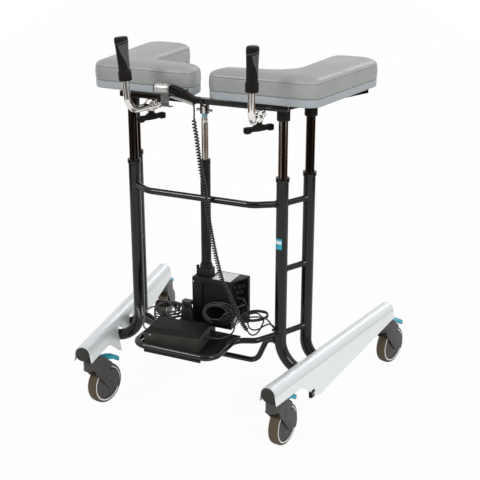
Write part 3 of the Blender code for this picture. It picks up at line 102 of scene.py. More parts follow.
class Finish:
    """A surface whose varying inputs are fed by nodes that its own methods make."""

    def __init__(self, name, slot="", **plain):
        self.slot = slot
        self.material = bpy.data.materials.new(name)
        self.material.use_nodes = True
        self.tree = self.material.node_tree
        self.surface = self.tree.nodes["Principled BSDF"]
        for socket, value in plain.items():
            self.feed(socket.replace("_", " "), value)

    def join(self, socket, value):
        if isinstance(value, Signal):
            self.tree.links.new(value.socket, socket)
        else:
            socket.default_value = value

    def feed(self, socket, value):
        self.join(self.surface.inputs[socket], value)

    def node(self, kind, settings=(), sockets=(), output=0):
        made = self.tree.nodes.new("ShaderNode" + kind)
        for name, value in dict(settings).items():
            setattr(made, name, value)
        for name, value in dict(sockets).items():
            self.join(made.inputs[name], value)
        return Signal(self, made.outputs[output])

    def place(self, stretch=(1, 1, 1)):
        """Object coordinates, stretched."""
        return self.node("Mapping", (), {"Vector": self.node("TexCoord", output="Object"),
                                         "Scale": stretch})

    def axis(self, spot, index):
        return self.node("SeparateXYZ", (), {0: spot}, index)

    def own_map(self, name):
        """The two values that a piece's own UV map carries."""
        spot = self.node("UVMap", {"uv_map": name})
        return spot, self.axis(spot, 0), self.axis(spot, 1)

    def noise(self, scale, detail=2.0, spot=None):
        return self.node("TexNoise", (), {"Vector": spot or self.place(), "Scale": scale,
                                          "Detail": detail})

    def step(self, value, low, high, start=0.0, stop=1.0):
        """Smooth rise from start to stop while the value goes from low to high."""
        return self.node("MapRange", {"interpolation_type": "SMOOTHSTEP"},
                         {0: value, 1: low, 2: high, 3: start, 4: stop})

    def within(self, value, low, rise, fall, high):
        """1 between rise and fall, with soft flanks from low and to high."""
        return self.step(value, low, rise) * (1.0 - self.step(value, fall, high))

    def mixed(self, factor, *tones):
        first, second = (tone if isinstance(tone, Signal) else (*tone, 1.0) for tone in tones)
        return self.node("Mix", {"data_type": "RGBA"},
                         {0: factor, 6: first, 7: second}, 2)

    def patches(self, scale, detail, first, second, low=0.3, high=0.7):
        """A colour that varies between two tones in soft patches."""
        return self.mixed(self.step(self.noise(scale, detail), low, high), first, second)

    def mottled(self, *patches):
        self.feed("Base Color", self.patches(*patches))
        return self

    def scuffed(self, scale, detail, start, stop, low=0.3, high=0.7):
        """Roughness from start to stop in patches."""
        self.feed("Roughness", self.step(self.noise(scale, detail), low, high, start, stop))
        return self

    def relief(self, height, depth):
        """Small bumps or grooves, depth metres deep where the height is 1."""
        self.feed("Normal", self.node("Bump", (), {"Height": height, "Distance": depth}))

    def grained(self, scale, detail, depth):
        self.relief(self.noise(scale, detail), depth)
        return self


def show(made):
    bpy.context.scene.collection.objects.link(made)
    return made


def turned(place=(0, 0, 0), degrees=0.0, axis="Z"):
    """The transform that turns about an axis and then moves to a place."""
    return Matrix.Translation(place) @ Matrix.Rotation(math.radians(degrees), 4, axis)


camera = show(bpy.data.objects.new("camera", bpy.data.cameras.new("camera")))
camera.data.lens, camera.data.sensor_width, camera.data.clip_end = 76.2, 36.0, 200
camera.location = (1.106, -2.3184, 1.3296)
camera.rotation_euler = (math.radians(90 - 19.69), 0, math.radians(25.0))
bpy.context.scene.camera = camera
bpy.context.scene.view_settings.view_transform = "Standard"

floor_paint = Finish("studio_floor", Base_Color=(0.9, 0.9, 0.9, 1), Roughness=0.9,
                     Specular_IOR_Level=0.1)
seen = floor_paint.node("LightPath", output="Is Camera Ray")
whitened = floor_paint.node("MixShader", (), {
    0: seen * 0.95, 1: Signal(floor_paint, floor_paint.surface.outputs[0]),
    2: floor_paint.node("Emission", (), {0: (1, 1, 1, 1), 1: 1.0})})
floor_paint.join(floor_paint.tree.nodes["Material Output"].inputs[0], whitened)
ground = bmesh.new()
bmesh.ops.create_grid(ground, x_segments=1, y_segments=1, size=1)
floor_half_width, floor_half_run, floor_shift = 2.05, 31.6, 28.4
ground.transform(turned((0, 0, 0), 25) @ Matrix.Translation((0, floor_shift, 0))
                 @ Matrix.Diagonal((floor_half_width, floor_half_run, 1, 1)))
floor_mesh = bpy.data.meshes.new("studio_floor")
ground.to_mesh(floor_mesh)
floor_mesh.materials.append(floor_paint.material)
show(bpy.data.objects.new("studio_floor", floor_mesh))

for name, strength, angle, aim in (("front_left_sun", 0.82, 13, (-0.62, -0.85, 0.95)),
                                   ("right_sun", 1.2, 30, (0.88, -0.52, 0.7)),
                                   ("back_sun", 0.26, 16, (0.08, 0.85, 0.53))):
    sun = show(bpy.data.objects.new(name, bpy.data.lights.new(name, "SUN")))
    sun.data.energy, sun.data.angle = strength, math.radians(angle)
    sun.rotation_euler = Vector(aim).to_track_quat("Z", "Y").to_euler()

studio = bpy.data.worlds.new("studio")
bpy.context.scene.world = studio
studio.use_nodes = True


class Air(Finish):
    """The world's own nodes, made with the same methods."""

    def __init__(self, world):
        self.tree = world.node_tree
        self.tree.nodes.clear()


air = Air(studio)
towards = air.node("TexCoord", output="Generated")
behind, up, sideways = (
    air.node("VectorMath", {"operation": "DOT_PRODUCT"}, {0: towards, 1: aim}, 1)
    for aim in ((0.42, -0.9, 0.1), (0, 0, 1), (0.906, 0.423, 0)))
mirrored, direct, through = (air.node("LightPath", output=f"Is {kind} Ray")
                             for kind in ("Glossy", "Camera", "Transmission"))
dark_side = air.step(behind, 0.5, 0.86)
brown_side = air.step(up, 0.03, -0.06) * air.step(sideways * sideways, 0.62, 0.78) * mirrored
diffuse = (1.0 - direct) * (1.0 - through) * (1.0 - mirrored)
sky = air.node("Background", (), {
    0: air.mixed(brown_side, (1.0, 1.0, 1.0), (0.115, 0.058, 0.03)),
    1: direct + through + mirrored * (1.0 - dark_side * 0.86) + diffuse * 0.52})
air.join(air.tree.nodes.new("ShaderNodeOutputWorld").inputs[0], sky)


# Leads: black round cable 4 mm thick. The handset's curly lead hangs from the handset to the
# tray, where it runs on as a plain lead through a small hank and the clip on the right post
# into the control box. The charger has a mains lead with a plug and an output lead.
def run_of(points):
    """How far along the route each point lies."""
    return np.concatenate(([0], np.cumsum([(b - a).length for a, b in zip(points, points[1:])])))


def points_at(wanted, run, points):
    columns = [np.interp(wanted, run, [place[axis] for place in points]) for axis in range(3)]
    return [Vector(place) for place in zip(*columns)]


def flow(points, spacing, straight_ends=False):
    """Smooth curve through the points, cut in equal steps near the spacing."""
    points = [Vector(place) for place in points]
    if straight_ends:
        ends, padded = (points[0], points[-1]), points
        points = points[1:-1]
    else:
        padded = [2 * points[0] - points[1], *points, 2 * points[-1] - points[-2]]
    fine = []
    for a, b, c, d in zip(padded, padded[1:], padded[2:], padded[3:]):
        for step in range(24):
            t = step / 24
            fine.append(0.5 * (2 * b + (c - a) * t + (2 * a - 5 * b + 4 * c - d) * t ** 2
                               + (3 * b - a - 3 * c + d) * t ** 3))
    fine.append(points[-1])
    run = run_of(fine)
    even = points_at(np.linspace(0, run[-1], max(2, round(run[-1] / spacing)) + 1), run, fine)
    return [ends[0], *even, ends[1]] if straight_ends else even


def tube_along(points, radius, sides=24):
    """A round tube with closed ends along the points, as a bmesh."""
    curve = bpy.data.curves.new("tube", "CURVE")
    curve.dimensions, curve.bevel_depth = "3D", radius
    curve.bevel_resolution, curve.use_fill_caps = sides // 2 - 2, True
    spline = curve.splines.new("POLY")
    spline.points.add(len(points) - 1)
    for point, place in zip(spline.points, points):
        point.co = (*place, 1)
    holder = show(bpy.data.objects.new("tube", curve))
    shaped = holder.evaluated_get(bpy.context.evaluated_depsgraph_get())
    mesh = bpy.data.meshes.new_from_object(shaped)
    build = bmesh.new()
    build.from_mesh(mesh)
    bmesh.ops.remove_doubles(build, verts=build.verts, dist=1e-6)
    for store, used in ((bpy.data.objects, holder), (bpy.data.curves, curve),
                        (bpy.data.meshes, mesh)):
        store.remove(used)
    return build


def dressed(name, builds, finish, body, nodes=None, angle=35):
    """One finished piece: it rides on a body and stands for nodes, its namesake if not given."""
    mesh = bpy.data.meshes.new(name)
    whole = bmesh.new()
    for build in builds if isinstance(builds, list) else [builds]:
        bmesh.ops.recalc_face_normals(build, faces=build.faces)
        build.to_mesh(mesh)
        whole.from_mesh(mesh)
        build.free()
    whole.to_mesh(mesh)
    whole.free()
    mesh.shade_smooth()
    mesh.set_sharp_from_angle(angle=math.radians(angle))
    mesh.materials.append(finish.material)
    made = show(bpy.data.objects.new(name, mesh))
    if body:
        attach(made, body)
    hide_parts(*([nodes or name] if isinstance(nodes or name, str) else nodes))
    return made


def length_of(points):
    return sum((b - a).length for a, b in zip(points, points[1:]))


cable = Finish("cable_jacket", "cord_black", Base_Color=(0.012, 0.012, 0.013, 1))
cable.scuffed(260, 4, 0.28, 0.46, 0.35).grained(2600, 2, 0.00008)
cable_radius, curl_radius = 0.002, 0.0042
coil_spine = flow((
    (-0.001, -0.2045, 0.786), (0.0003, -0.205, 0.7659), (0.0049, -0.2058, 0.744),
    (0.0112, -0.2073, 0.701), (0.0176, -0.2087, 0.6617), (0.0281, -0.2102, 0.6188),
    (0.0337, -0.2116, 0.5777), (0.0427, -0.2132, 0.5246), (0.0516, -0.2145, 0.4815),
    (0.062, -0.2158, 0.4384), (0.0771, -0.2172, 0.3874), (0.0934, -0.218, 0.3571),
    (0.1122, -0.2189, 0.3225), (0.1319, -0.2195, 0.2838), (0.148, -0.2195, 0.263)), 0.004)
spine_run = run_of(coil_spine)
curl_points, pitch_top, pitch_bottom = 12, 0.0078, 0.0054
along = [0.0]
while along[-1] < spine_run[-1]:
    share = along[-1] / spine_run[-1]
    along.append(along[-1] + (pitch_top + (pitch_bottom - pitch_top) * share) / curl_points)
middles = points_at(along, spine_run, coil_spine)
last = len(middles) - 1
curly_route = [Vector(place) for place in (
    (-0.0045, -0.1975, 0.8167), (-0.0045, -0.1975, 0.812), (-0.003, -0.199, 0.803),
    (-0.0015, -0.2025, 0.793))]
for step, middle in enumerate(middles):
    ahead = (middles[min(step + curl_points, last)]
             - middles[max(step - curl_points, 0)]).normalized()
    across = Vector((0, 1, 0)).cross(ahead).normalized()
    ease = min(1.0, step / curl_points, (last - step) / curl_points)
    turn = math.tau * step / curl_points
    curly_route.append(middle + (across * math.cos(turn) + ahead.cross(across) * math.sin(turn))
                       * curl_radius * ease * ease * (3 - 2 * ease))
curly_route.append(curly_route[-1] + ahead * curl_radius)
curly = dressed("curly_lead", tube_along(curly_route, cable_radius, 10), cable, None,
                "curly_cord", 60)
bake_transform(curly)
length_of(curly_route)


def hank(centre, half_run, half_width, rise, lean, turns, waist, start, spin, shrink=0.0,
         sway=0.0):
    """Oval loops laid on each other; they may shrink and sway from loop to loop."""
    rise, lean, start, sway = (math.radians(degrees) for degrees in (rise, lean, start, sway))
    run = Vector((math.cos(rise), 0, math.sin(rise)))
    across = Vector((0, math.cos(lean), math.sin(lean)))
    layer = run.cross(across) * 0.0042
    points = []
    for step in range(round(turns * 36) + 1):
        turn = step / 36
        angle = start + spin * math.tau * turn
        width = half_width * (1 - waist * math.exp(-(math.cos(angle) / 0.4) ** 2))
        loose = Matrix.Rotation(sway * math.sin(2.1 * turn), 2)
        flat = loose @ Vector((half_run * math.cos(angle), width * math.sin(angle)))
        flat *= 1 - shrink * turn / turns
        points.append(Vector(centre) + run * flat.x + across * flat.y + layer * (turn - turns / 2))
    return points


def laid(name, route, nodes):
    """A lead that lies on the tray: its tube."""
    made = dressed(name, tube_along(route, cable_radius, 12), cable, "frame", nodes, 60)
    length_of(route)


# The plain part of the handset's lead: a hank beside the control box, then the post's clip.
loop = hank((0.149, -0.176, 0.287), 0.035, 0.022, 10, 9, 2.5, 0.0, 90, 1)
leaving = (curly_route[-1] - curly_route[-2]).normalized()
before = [curly_route[-1] + leaving * gap for gap in (0.0003, 0.0045)]
before += [(0.1586, -0.214, 0.2515), (0.1645, -0.207, 0.252), (0.1679, -0.2, 0.2553),
           (0.1695, -0.19, 0.2609), (0.169, -0.176, 0.267), (0.1655, -0.162, 0.2745)]
after = [(0.164, -0.2, 0.2965), (0.18, -0.1945, 0.296), (0.1905, -0.186, 0.285),
         (0.1965, -0.18, 0.271), (0.2005, -0.1745, 0.2635), (0.1975, -0.168, 0.2635),
         (0.1848, -0.166, 0.267), (0.1705, -0.168, 0.26), (0.156, -0.17, 0.249),
         (0.14, -0.17, 0.244), (0.126, -0.164, 0.248), (0.119, -0.157, 0.264),
         (0.118, -0.155, 0.288), (0.114, -0.157, 0.308), (0.106, -0.1585, 0.317),
         (0.0995, -0.1585, 0.318), (0.0953, -0.1585, 0.318)]
laid("handset_plain_lead", flow([*before, *loop[1:-1:6], *after], 0.004, True),
     ("handset_lead", "handset_hank", "post_lead"))

# The charger's two leads: out of its ends, round their hanks, to the box and to the plug.
charger_place = turned((-0.02, -0.2765, 0.2475), 7.0)
out = charger_place.to_3x3() @ Vector((1, 0, 0))
output_exit, mains_exit = (charger_place @ Vector((end, 0, 0)) for end in (0.0795, -0.0795))
loops = hank((0.056, -0.2005, 0.287), 0.049, 0.029, 0, 66, 7, 0.0, 0, 1, 0.42, 8)
output_route = flow([
    output_exit, output_exit + out * 0.0045, (0.085, -0.252, 0.243),
    (0.0985, -0.235, 0.245), (0.106, -0.215, 0.251), (0.105, -0.2, 0.268),
    *loops[::6], (0.1045, -0.202, 0.3), (0.105, -0.188, 0.306),
    (0.1065, -0.17, 0.304), (0.107, -0.154, 0.3), (0.0995, -0.1385, 0.296),
    (0.0953, -0.1385, 0.296)], 0.004, True)
laid("charger_output_lead", output_route, "output_hank")
loops = hank((-0.096, -0.184, 0.265), 0.048, 0.0265, 0, 48, 9, 0.3, 90, -1, 0.34, 26)
mains_route = flow([
    mains_exit, mains_exit - out * 0.0045, (-0.115, -0.28, 0.25),
    (-0.125, -0.262, 0.253), (-0.14, -0.232, 0.252), (-0.156, -0.208, 0.251),
    (-0.162, -0.185, 0.25), (-0.154, -0.165, 0.252), (-0.135, -0.158, 0.256),
    (-0.116, -0.163, 0.258), *loops[::6], (-0.076, -0.1755, 0.275),
    (-0.057, -0.169, 0.272), (-0.043, -0.169, 0.26), (-0.033, -0.173, 0.242),
    (-0.0305, -0.1817, 0.236), (-0.0305, -0.1857, 0.236)], 0.004, True)


def loft(rings):
    """A closed skin through rings that have equal counts of points."""
    build = bmesh.new()
    loops = []
    for ring in rings:
        verts = [build.verts.new(place) for place in ring]
        loops.append([build.edges.new(pair) for pair in zip(verts, verts[1:] + verts[:1])])
    for lower, upper in zip(loops, loops[1:]):
        bmesh.ops.bridge_loops(build, edges=lower + upper)
    for end in (loops[0], loops[-1]):
        bmesh.ops.contextual_create(build, geom=end)
    return build


def softened(centre, wide, deep, power=2.0, count=48):
    """A level ring between an oval (power 2) and a rectangle (power 6 and more)."""
    ring = []
    for step in range(count):
        turn = math.tau * step / count
        c, s = math.cos(turn), math.sin(turn)
        ring.append(Vector(centre) + Vector((
            wide * math.copysign(abs(c) ** (2 / power), c),
            deep * math.copysign(abs(s) ** (2 / power), s), 0)))
    return ring


plug_plastic = Finish("plug_plastic", "cord_black", Base_Color=(0.01, 0.01, 0.011, 1))
plug_plastic.scuffed(180, 4, 0.36, 0.52).grained(1900, 2, 0.00006)
plug_levels = ((0.0, 0.0118, 0.0088), (0.0012, 0.013, 0.01), (0.016, 0.0148, 0.0103),
               (0.032, 0.0165, 0.0105), (0.042, 0.0165, 0.0103), (0.052, 0.016, 0.01),
               (0.058, 0.014, 0.0091), (0.0645, 0.011, 0.008), (0.068, 0.0104, 0.0079),
               (0.0728, 0.0105, 0.008), (0.0736, 0.0128, 0.009), (0.0742, 0.0135, 0.0095),
               (0.083, 0.0135, 0.0095), (0.084, 0.0128, 0.0088))
plug_body = loft([softened((-0.0305, -0.2, 0.223 + height), wide, deep, 4.5)
                  for height, wide, deep in plug_levels])
relief_ribs = loft([[(-0.0305 + radius * math.cos(math.tau * step / 20), y,
                      0.236 + radius * math.sin(math.tau * step / 20)) for step in range(20)]
                    for y, radius in ((-0.192, 0.0031), (-0.1895, 0.0031), (-0.189, 0.0026),
                                      (-0.1883, 0.0026), (-0.1878, 0.0031), (-0.1871, 0.003),
                                      (-0.1866, 0.0025), (-0.1861, 0.0025))])
plug = dressed("mains_plug_body", [plug_body, relief_ribs], plug_plastic, "frame",
               "mains_plug", 40)
laid("charger_mains_lead", mains_route, "mains_hank")


# Forearm pads: vinyl over foam on a board. A puffed side panel stands between two seams, a
# lighter ribbed band runs below the lower one, and the crown rises softly to a flat top.
def bend(before, corner, after, radius, steps):
    """Points of the arc that rounds a corner between two straight runs."""
    before, after = (before - corner).normalized(), (after - corner).normalized()
    half = before.angle(after) / 2
    centre = corner + (before + after).normalized() * radius / math.sin(half)
    start, stop = (corner + leg * radius / math.tan(half) - centre for leg in (before, after))
    return [centre + Matrix.Rotation((math.pi - 2 * half) * step / steps, 3,
                                     start.cross(stop).normalized()) @ start
            for step in range(steps + 1)]


def rounded(corners, steps):
    """Closed flat outline through corners (x, y, radius)."""
    places = [Vector((x, y, 0)) for x, y, _ in corners]
    return [point for index, corner in enumerate(corners)
            for point in bend(places[index - 1], places[index],
                              places[(index + 1) % len(places)], corner[2], steps)]


def drawn_in(corners, inset):
    """The corners moved inwards; outer bends tighten and the inner one opens."""
    drawn = []
    for index, (x, y, radius) in enumerate(corners):
        corner = Vector((x, y))
        before = (corner - Vector(corners[index - 1][:2])).normalized()
        after = (Vector(corners[(index + 1) % len(corners)][:2]) - corner).normalized()
        inward = Vector((-before.y - after.y, before.x + after.x)).normalized()
        reach = inset / (before.x * inward.y - before.y * inward.x)
        outer = before.x * after.y > before.y * after.x
        drawn.append((*(corner + inward * reach),
                      max(radius - inset, 0.004) if outer else radius + inset))
    return drawn


vinyl = Finish("pad_vinyl", "pad_vinyl")
_, around, climb = vinyl.own_map("seams")
band = climb < 0.019
ribs, rows = around.wave(0.0022), climb.wave(0.003)
stitch = around.wave(0.0052) > 0.15
near_seam = ((climb > 0.05) * (climb < 0.0512)) + ((climb > 0.0222) * (climb < 0.0234))
worn = vinyl.noise(7.0, 3)
base = vinyl.mixed(vinyl.step(worn, 0.3, 0.72), (0.32, 0.334, 0.324), (0.362, 0.376, 0.364))
# The crown is painted a darker grey than the side panel: painted shade that tones down the light
# on the pads' tops.
base = vinyl.mixed(vinyl.step(climb, 0.056, 0.07) * 0.7, base, (0.285, 0.288, 0.272))
base = vinyl.mixed(band, base, (0.425, 0.46, 0.478))
base = vinyl.mixed((ribs > 0.35) * band * 0.35, base, (0.25, 0.28, 0.31))
# The thin dark lines along the upper and lower seams are painted shade in the seam creases.
base = vinyl.mixed(vinyl.within(climb, 0.0526, 0.0534, 0.0541, 0.055) * 0.24
                   + vinyl.within(climb, 0.0186, 0.0192, 0.0204, 0.0212) * 0.36,
                   base, (0.06, 0.064, 0.064))
vinyl.feed("Base Color", base)
vinyl.feed("Roughness", vinyl.step(worn, 0.25, 0.75, 0.31, 0.44) + band * 0.25)
vinyl.relief(vinyl.noise(950, 5) * 0.6 + vinyl.noise(60, 3) * 0.8 + ribs * rows * band * 0.8
             + stitch * near_seam * 1.2, 0.00022)
board = Finish("pad_board", Roughness=0.7)
board.mottled(30, 4, (0.014, 0.014, 0.015), (0.024, 0.023, 0.022)).grained(420, 4, 0.0002)

pad_corners = ((0.0085, -0.1745, 0.03), (0.296, -0.1745, 0.036), (0.3465, 0.1895, 0.052),
               (0.202, 0.1895, 0.042), (0.188, -0.0685, 0.062), (0.0235, -0.0885, 0.034))
pad_levels = (
    (0.0075, 0.0), (0.004, 0.0), (0.0018, 0.0006), (0.0006, 0.0022), (0.0003, 0.006),
    (0.0001, 0.012), (0.0, 0.0176), (0.0003, 0.0186), (0.0016, 0.0193), (0.0018, 0.0199),
    (0.0014, 0.0206), (0.0003, 0.0214), (-0.0004, 0.024), (-0.0009, 0.03), (-0.0012, 0.037),
    (-0.001, 0.044), (-0.0004, 0.05), (0.0, 0.0522), (0.0006, 0.0532), (0.0016, 0.0538),
    (0.0015, 0.0544), (0.0006, 0.0551), (0.0009, 0.0566), (0.0022, 0.059), (0.0045, 0.0614),
    (0.0075, 0.0636), (0.0115, 0.0656), (0.0165, 0.0673), (0.022, 0.0688), (0.0285, 0.07),
    (0.036, 0.071))
pad_floor, pad_pivot = 0.8278, Vector((0, 0.31, 0))
for side, sign, turn in (("left", -1, -1.6), ("right", 1, 0.0)):
    about = turned(pad_pivot, turn) @ Matrix.Translation(-pad_pivot)
    rings = [[about @ Vector((sign * spot.x, spot.y, pad_floor + height))
              for spot in rounded(drawn_in(pad_corners, inset), 22)]
             for inset, height in pad_levels]
    pad = dressed("forearm_pad_" + side, loft(rings), vinyl, "upper", angle=50)
    outline = rings[0]
    runs = run_of(outline + outline[:1])
    seams = pad.data.uv_layers.new(name="seams")
    pad.data.materials.append(board.material)
    for face in pad.data.polygons:
        face.material_index = int(face.normal.z < -0.9)
        spots = [vertex % len(outline) for vertex in face.vertices]
        wraps = max(spots) - min(spots) > len(outline) / 2
        for corner, vertex, spot in zip(face.loop_indices, face.vertices, spots):
            height = pad.data.vertices[vertex].co.z - pad_floor
            seams.data[corner].uv = (runs[-1] if wraps and spot == 0 else runs[spot], height)


# Handles: a bright tube bent forwards and up, a rubber grip with a smooth thumb facet, a
# clamp under the crossbar and a T-shaped clamping knob.
def bent(corners, steps):
    """Route through corners (place, bend radius); the two ends have no bend."""
    places = [Vector(place) for place, _ in corners]
    route = [places[0]]
    for before, place, after, (_, radius) in zip(places, places[1:], places[2:], corners[1:]):
        route += bend(before, place, after, radius, steps)
    return route + [places[-1]]


def eased(build, edges, reach, segments=3):
    """Round the edges of a build."""
    bmesh.ops.bevel(build, geom=edges, offset=reach, segments=segments, profile=0.5,
                    affect="EDGES", material=-1)


def block(low, high, edge=0.0, matrix=None):
    """A box from corner to corner with rounded edges."""
    low, high = Vector(low), Vector(high)
    build = bmesh.new()
    bmesh.ops.create_cube(build, size=1.0)
    build.transform(Matrix.Translation((low + high) / 2)
                    @ Matrix.Diagonal((*(high - low), 1)))
    if edge:
        eased(build, build.edges[:], edge)
    if matrix:
        build.transform(matrix)
    return build


def rod(start, end, radius, edge=0.0, sides=40, tip=None, plane=None):
    """A round bar with bevelled rims; it may taper to a tip radius. A number for start and
    end is a height on the Z axis of the plane."""
    if plane:
        start, end = (plane @ Vector((0, 0, height)) for height in (start, end))
    start, end = Vector(start), Vector(end)
    build = bmesh.new()
    bmesh.ops.create_cone(build, cap_ends=True, segments=sides, radius1=radius,
                          radius2=radius if tip is None else tip, depth=(end - start).length)
    if edge:
        rims = [e for e in build.edges if len(e.link_faces) == 2
                and any(len(face.verts) > 4 for face in e.link_faces)]
        eased(build, rims, edge)
    turn = Vector((0, 0, 1)).rotation_difference(end - start).to_matrix().to_4x4()
    build.transform(Matrix.Translation((start + end) / 2) @ turn)
    return build


def lathe(profile, steps, plane):
    """A ring or disc turned about Z from a closed (radius, height) outline."""
    build = bmesh.new()
    verts = [build.verts.new((radius, 0, height)) for radius, height in profile]
    edges = [build.edges.new(pair) for pair in zip(verts, verts[1:] + verts[:1])]
    bmesh.ops.spin(build, geom=verts + edges, cent=(0, 0, 0), axis=(0, 0, 1),
                   angle=math.tau, steps=steps, use_merge=True)
    bmesh.ops.remove_doubles(build, verts=build.verts, dist=1e-6)
    build.transform(plane)
    return build


def drawn_out(build, face, shift):
    """Pull a copy of one face out of a build; new walls join the two."""
    moved = bmesh.ops.extrude_face_region(build, geom=[face])["geom"]
    bmesh.ops.translate(build, vec=shift,
                        verts=[item for item in moved if isinstance(item, bmesh.types.BMVert)])


def slab(outline, low, high, plane, edge=0.0):
    """A flat outline made solid from low to high; plane turns X, Y, Z into place."""
    build = bmesh.new()
    face = build.faces.new([build.verts.new((*place[:2], low)) for place in outline])
    drawn_out(build, face, (0, 0, high - low))
    if edge:
        bmesh.ops.recalc_face_normals(build, faces=build.faces)
        rims = [e for e in build.edges if len(e.link_faces) == 2
                and abs(e.verts[0].co.z - e.verts[1].co.z) < 1e-6]
        eased(build, rims, edge)
    build.transform(plane)
    return build


# Planes for a slab: ALONG lays its outline on Y and Z, FACING on X and Z.
ALONG = Matrix(((0, 0, 1, 0), (1, 0, 0, 0), (0, 1, 0, 0), (0, 0, 0, 1)))
FACING = Matrix(((1, 0, 0, 0), (0, 0, -1, 0), (0, 1, 0, 0), (0, 0, 0, 1)))

chrome = Finish("bright_chrome", "chrome", Metallic=1.0)
chrome.mottled(9, 2, (0.93, 0.92, 0.9), (0.84, 0.82, 0.79))
chrome.scuffed(38, 4, 0.045, 0.13, 0.35, 0.75).grained(900, 2, 0.00001)
grip_tones = 24, 4, (0.0075, 0.006, 0.005), (0.0125, 0.0102, 0.0085)
rubber = Finish("grip_rubber", "dark_plastic", Specular_IOR_Level=0.16)
rubber.mottled(*grip_tones).scuffed(60, 3, 0.48, 0.62).grained(1500, 3, 0.00012)
grip_look = Finish("grip_with_facet", "grip_rubber", Specular_IOR_Level=0.16)
_, bearing, rise = grip_look.own_map("wrap")
below_line = rise - (bearing * 0.0000628 + 0.1677)
left_edge = grip_look.step(rise, 0.1, 0.158, -6.0, -80.0)
facet = (grip_look.step(bearing - left_edge, -3.0, 3.0)
         * (1.0 - grip_look.step(bearing, 66.0, 72.0))
         * (1.0 - grip_look.step(below_line, -0.0046, -0.0034))
         * grip_look.step(rise, 0.101, 0.103))
# Along the facet's edge runs a raised ridge whose lighter colour is a painted highlight.
parting_ridge_highlight = grip_look.within(below_line, -0.0014, -0.0006, 0.0004, 0.0012)
# The thumb facet's lighter grey is painted sheen of its smooth face.
skin_and_sheen = grip_look.mixed(facet, grip_look.patches(*grip_tones), (0.09, 0.09, 0.086))
grip_look.feed("Base Color", grip_look.mixed(parting_ridge_highlight * 0.8, skin_and_sheen, (0.13, 0.125, 0.12)))
grip_look.feed("Roughness", grip_look.step(grip_look.noise(60, 3), 0.3, 0.7, 0.48, 0.62)
               - facet * 0.14)
grip_look.relief(grip_look.noise(1500, 3) * 0.4 - facet * 2.0 + parting_ridge_highlight, 0.0003)
grip_levels = (
    (0.074, 0.014, 0.014), (0.075, 0.015, 0.015), (0.077, 0.0156, 0.0156),
    (0.095, 0.0156, 0.0156), (0.0968, 0.0152, 0.0152), (0.0975, 0.014, 0.014),
    (0.0985, 0.0136, 0.0137), (0.1095, 0.0136, 0.0138), (0.1205, 0.0136, 0.0142),
    (0.131, 0.0138, 0.0147), (0.14, 0.014, 0.0153), (0.1485, 0.0142, 0.0158),
    (0.159, 0.0147, 0.0171), (0.168, 0.015, 0.0182), (0.172, 0.0149, 0.018),
    (0.175, 0.0144, 0.0174), (0.1768, 0.0134, 0.0163), (0.1777, 0.012, 0.0148),
    (0.178, 0.01, 0.013))
handle_y, tube_z, grip_y, grip_count = -0.166, 0.797, -0.0855, 56
for side, x, lean, toe, knob_turn in (("left", -0.14, -5.5, -8.7, 69),
                                      ("right", 0.1515, 1.0, 12.0, 61)):
    base = turned((x, handle_y, tube_z), toe) @ turned((0, 0, 0), lean, "Y")
    tube = tube_along(bent((((0, grip_y, 0.166), 0), ((0, grip_y, 0), 0.034),
                            ((0, 0.036, 0), 0)), 16), 0.0089, 40)
    end = lathe(((0.006, 0.03), (0.0112, 0.03), (0.0116, 0.0306), (0.0116, 0.0352),
                 (0.011, 0.036), (0.0072, 0.036), (0.006, 0.0335)), 48,
                base @ turned((0, 0, 0), -90, "X"))
    tube.transform(base)
    dressed("handle_tube_" + side, [tube, end], chrome, "handle_" + side, angle=30)
    grip_build = loft([softened((0, grip_y, height), wide, deep, 2.15, grip_count)
                       for height, wide, deep in grip_levels])
    grip_build.transform(base)
    grip = dressed("grip_" + side, grip_build, grip_look, "handle_" + side, angle=40)
    wraps = grip.data.uv_layers.new(name="wrap")
    for face in grip.data.polygons:
        turns = [360 * (vertex % grip_count) / grip_count for vertex in face.vertices]
        turns = [turn if turn <= 115 else turn - 360 for turn in turns]
        if max(turns) - min(turns) > 180:
            turns = [turn - 360 if turn > 0 else turn for turn in turns]
        for corner, vertex, turn in zip(face.loop_indices, face.vertices, turns):
            level = min(vertex // grip_count, len(grip_levels) - 1)
            wraps.data[corner].uv = (turn, grip_levels[level][0])

    under = turned((x, handle_y, 0), toe)
    through = under @ turned((0, 0, tube_z), -90, "X")
    clamp = [block((-0.011, -0.0095, 0.79), (0.011, 0.0095, 0.8132), 0.0035, under),
             *(rod(start, stop, radius, 0.0016, plane=through)
               for start, stop, radius in ((-0.015, -0.009, 0.013), (-0.008, 0.008, 0.0117),
                                           (0.009, 0.015, 0.013))),
             rod((x, handle_y, 0.7842), (x, handle_y, 0.795), 0.0098, 0.0012),
             rod(-0.015, 0.015, 0.005, 0.001, 6,
                 plane=under @ turned((0, 0, 0.8055), 90, "Y"))]
    dressed("handle_clamp_" + side, clamp, chrome, "upper")

    outline = [(-0.0412, -0.006), (-0.039, -0.0074), (-0.027, -0.0074), (-0.0185, -0.0056),
               (-0.011, -0.0084)]
    outline += [(-along, across) for along, across in outline[::-1]]
    outline += [(-along, -across) for along, across in outline]
    screw = turned((x, handle_y, 0.768), knob_turn)
    knob = [slab(outline, -0.006, 0.006, screw, 0.0022),
            *(block((low, -0.0078, -0.009), (low + 0.015, 0.0078, 0.0066), 0.0034, screw)
              for low in (-0.0412, 0.0262)),
            block((-0.013, -0.0085, -0.0062), (0.013, 0.0085, 0.0095), 0.004, screw),
            rod(-0.0045, 0.0157, 0.0078, 0.0012, plane=screw),
            rod(0.004, 0.0198, 0.004, 0.0004, plane=screw)]
    dressed("clamp_knob_" + side, knob, rubber, "knob_" + side)


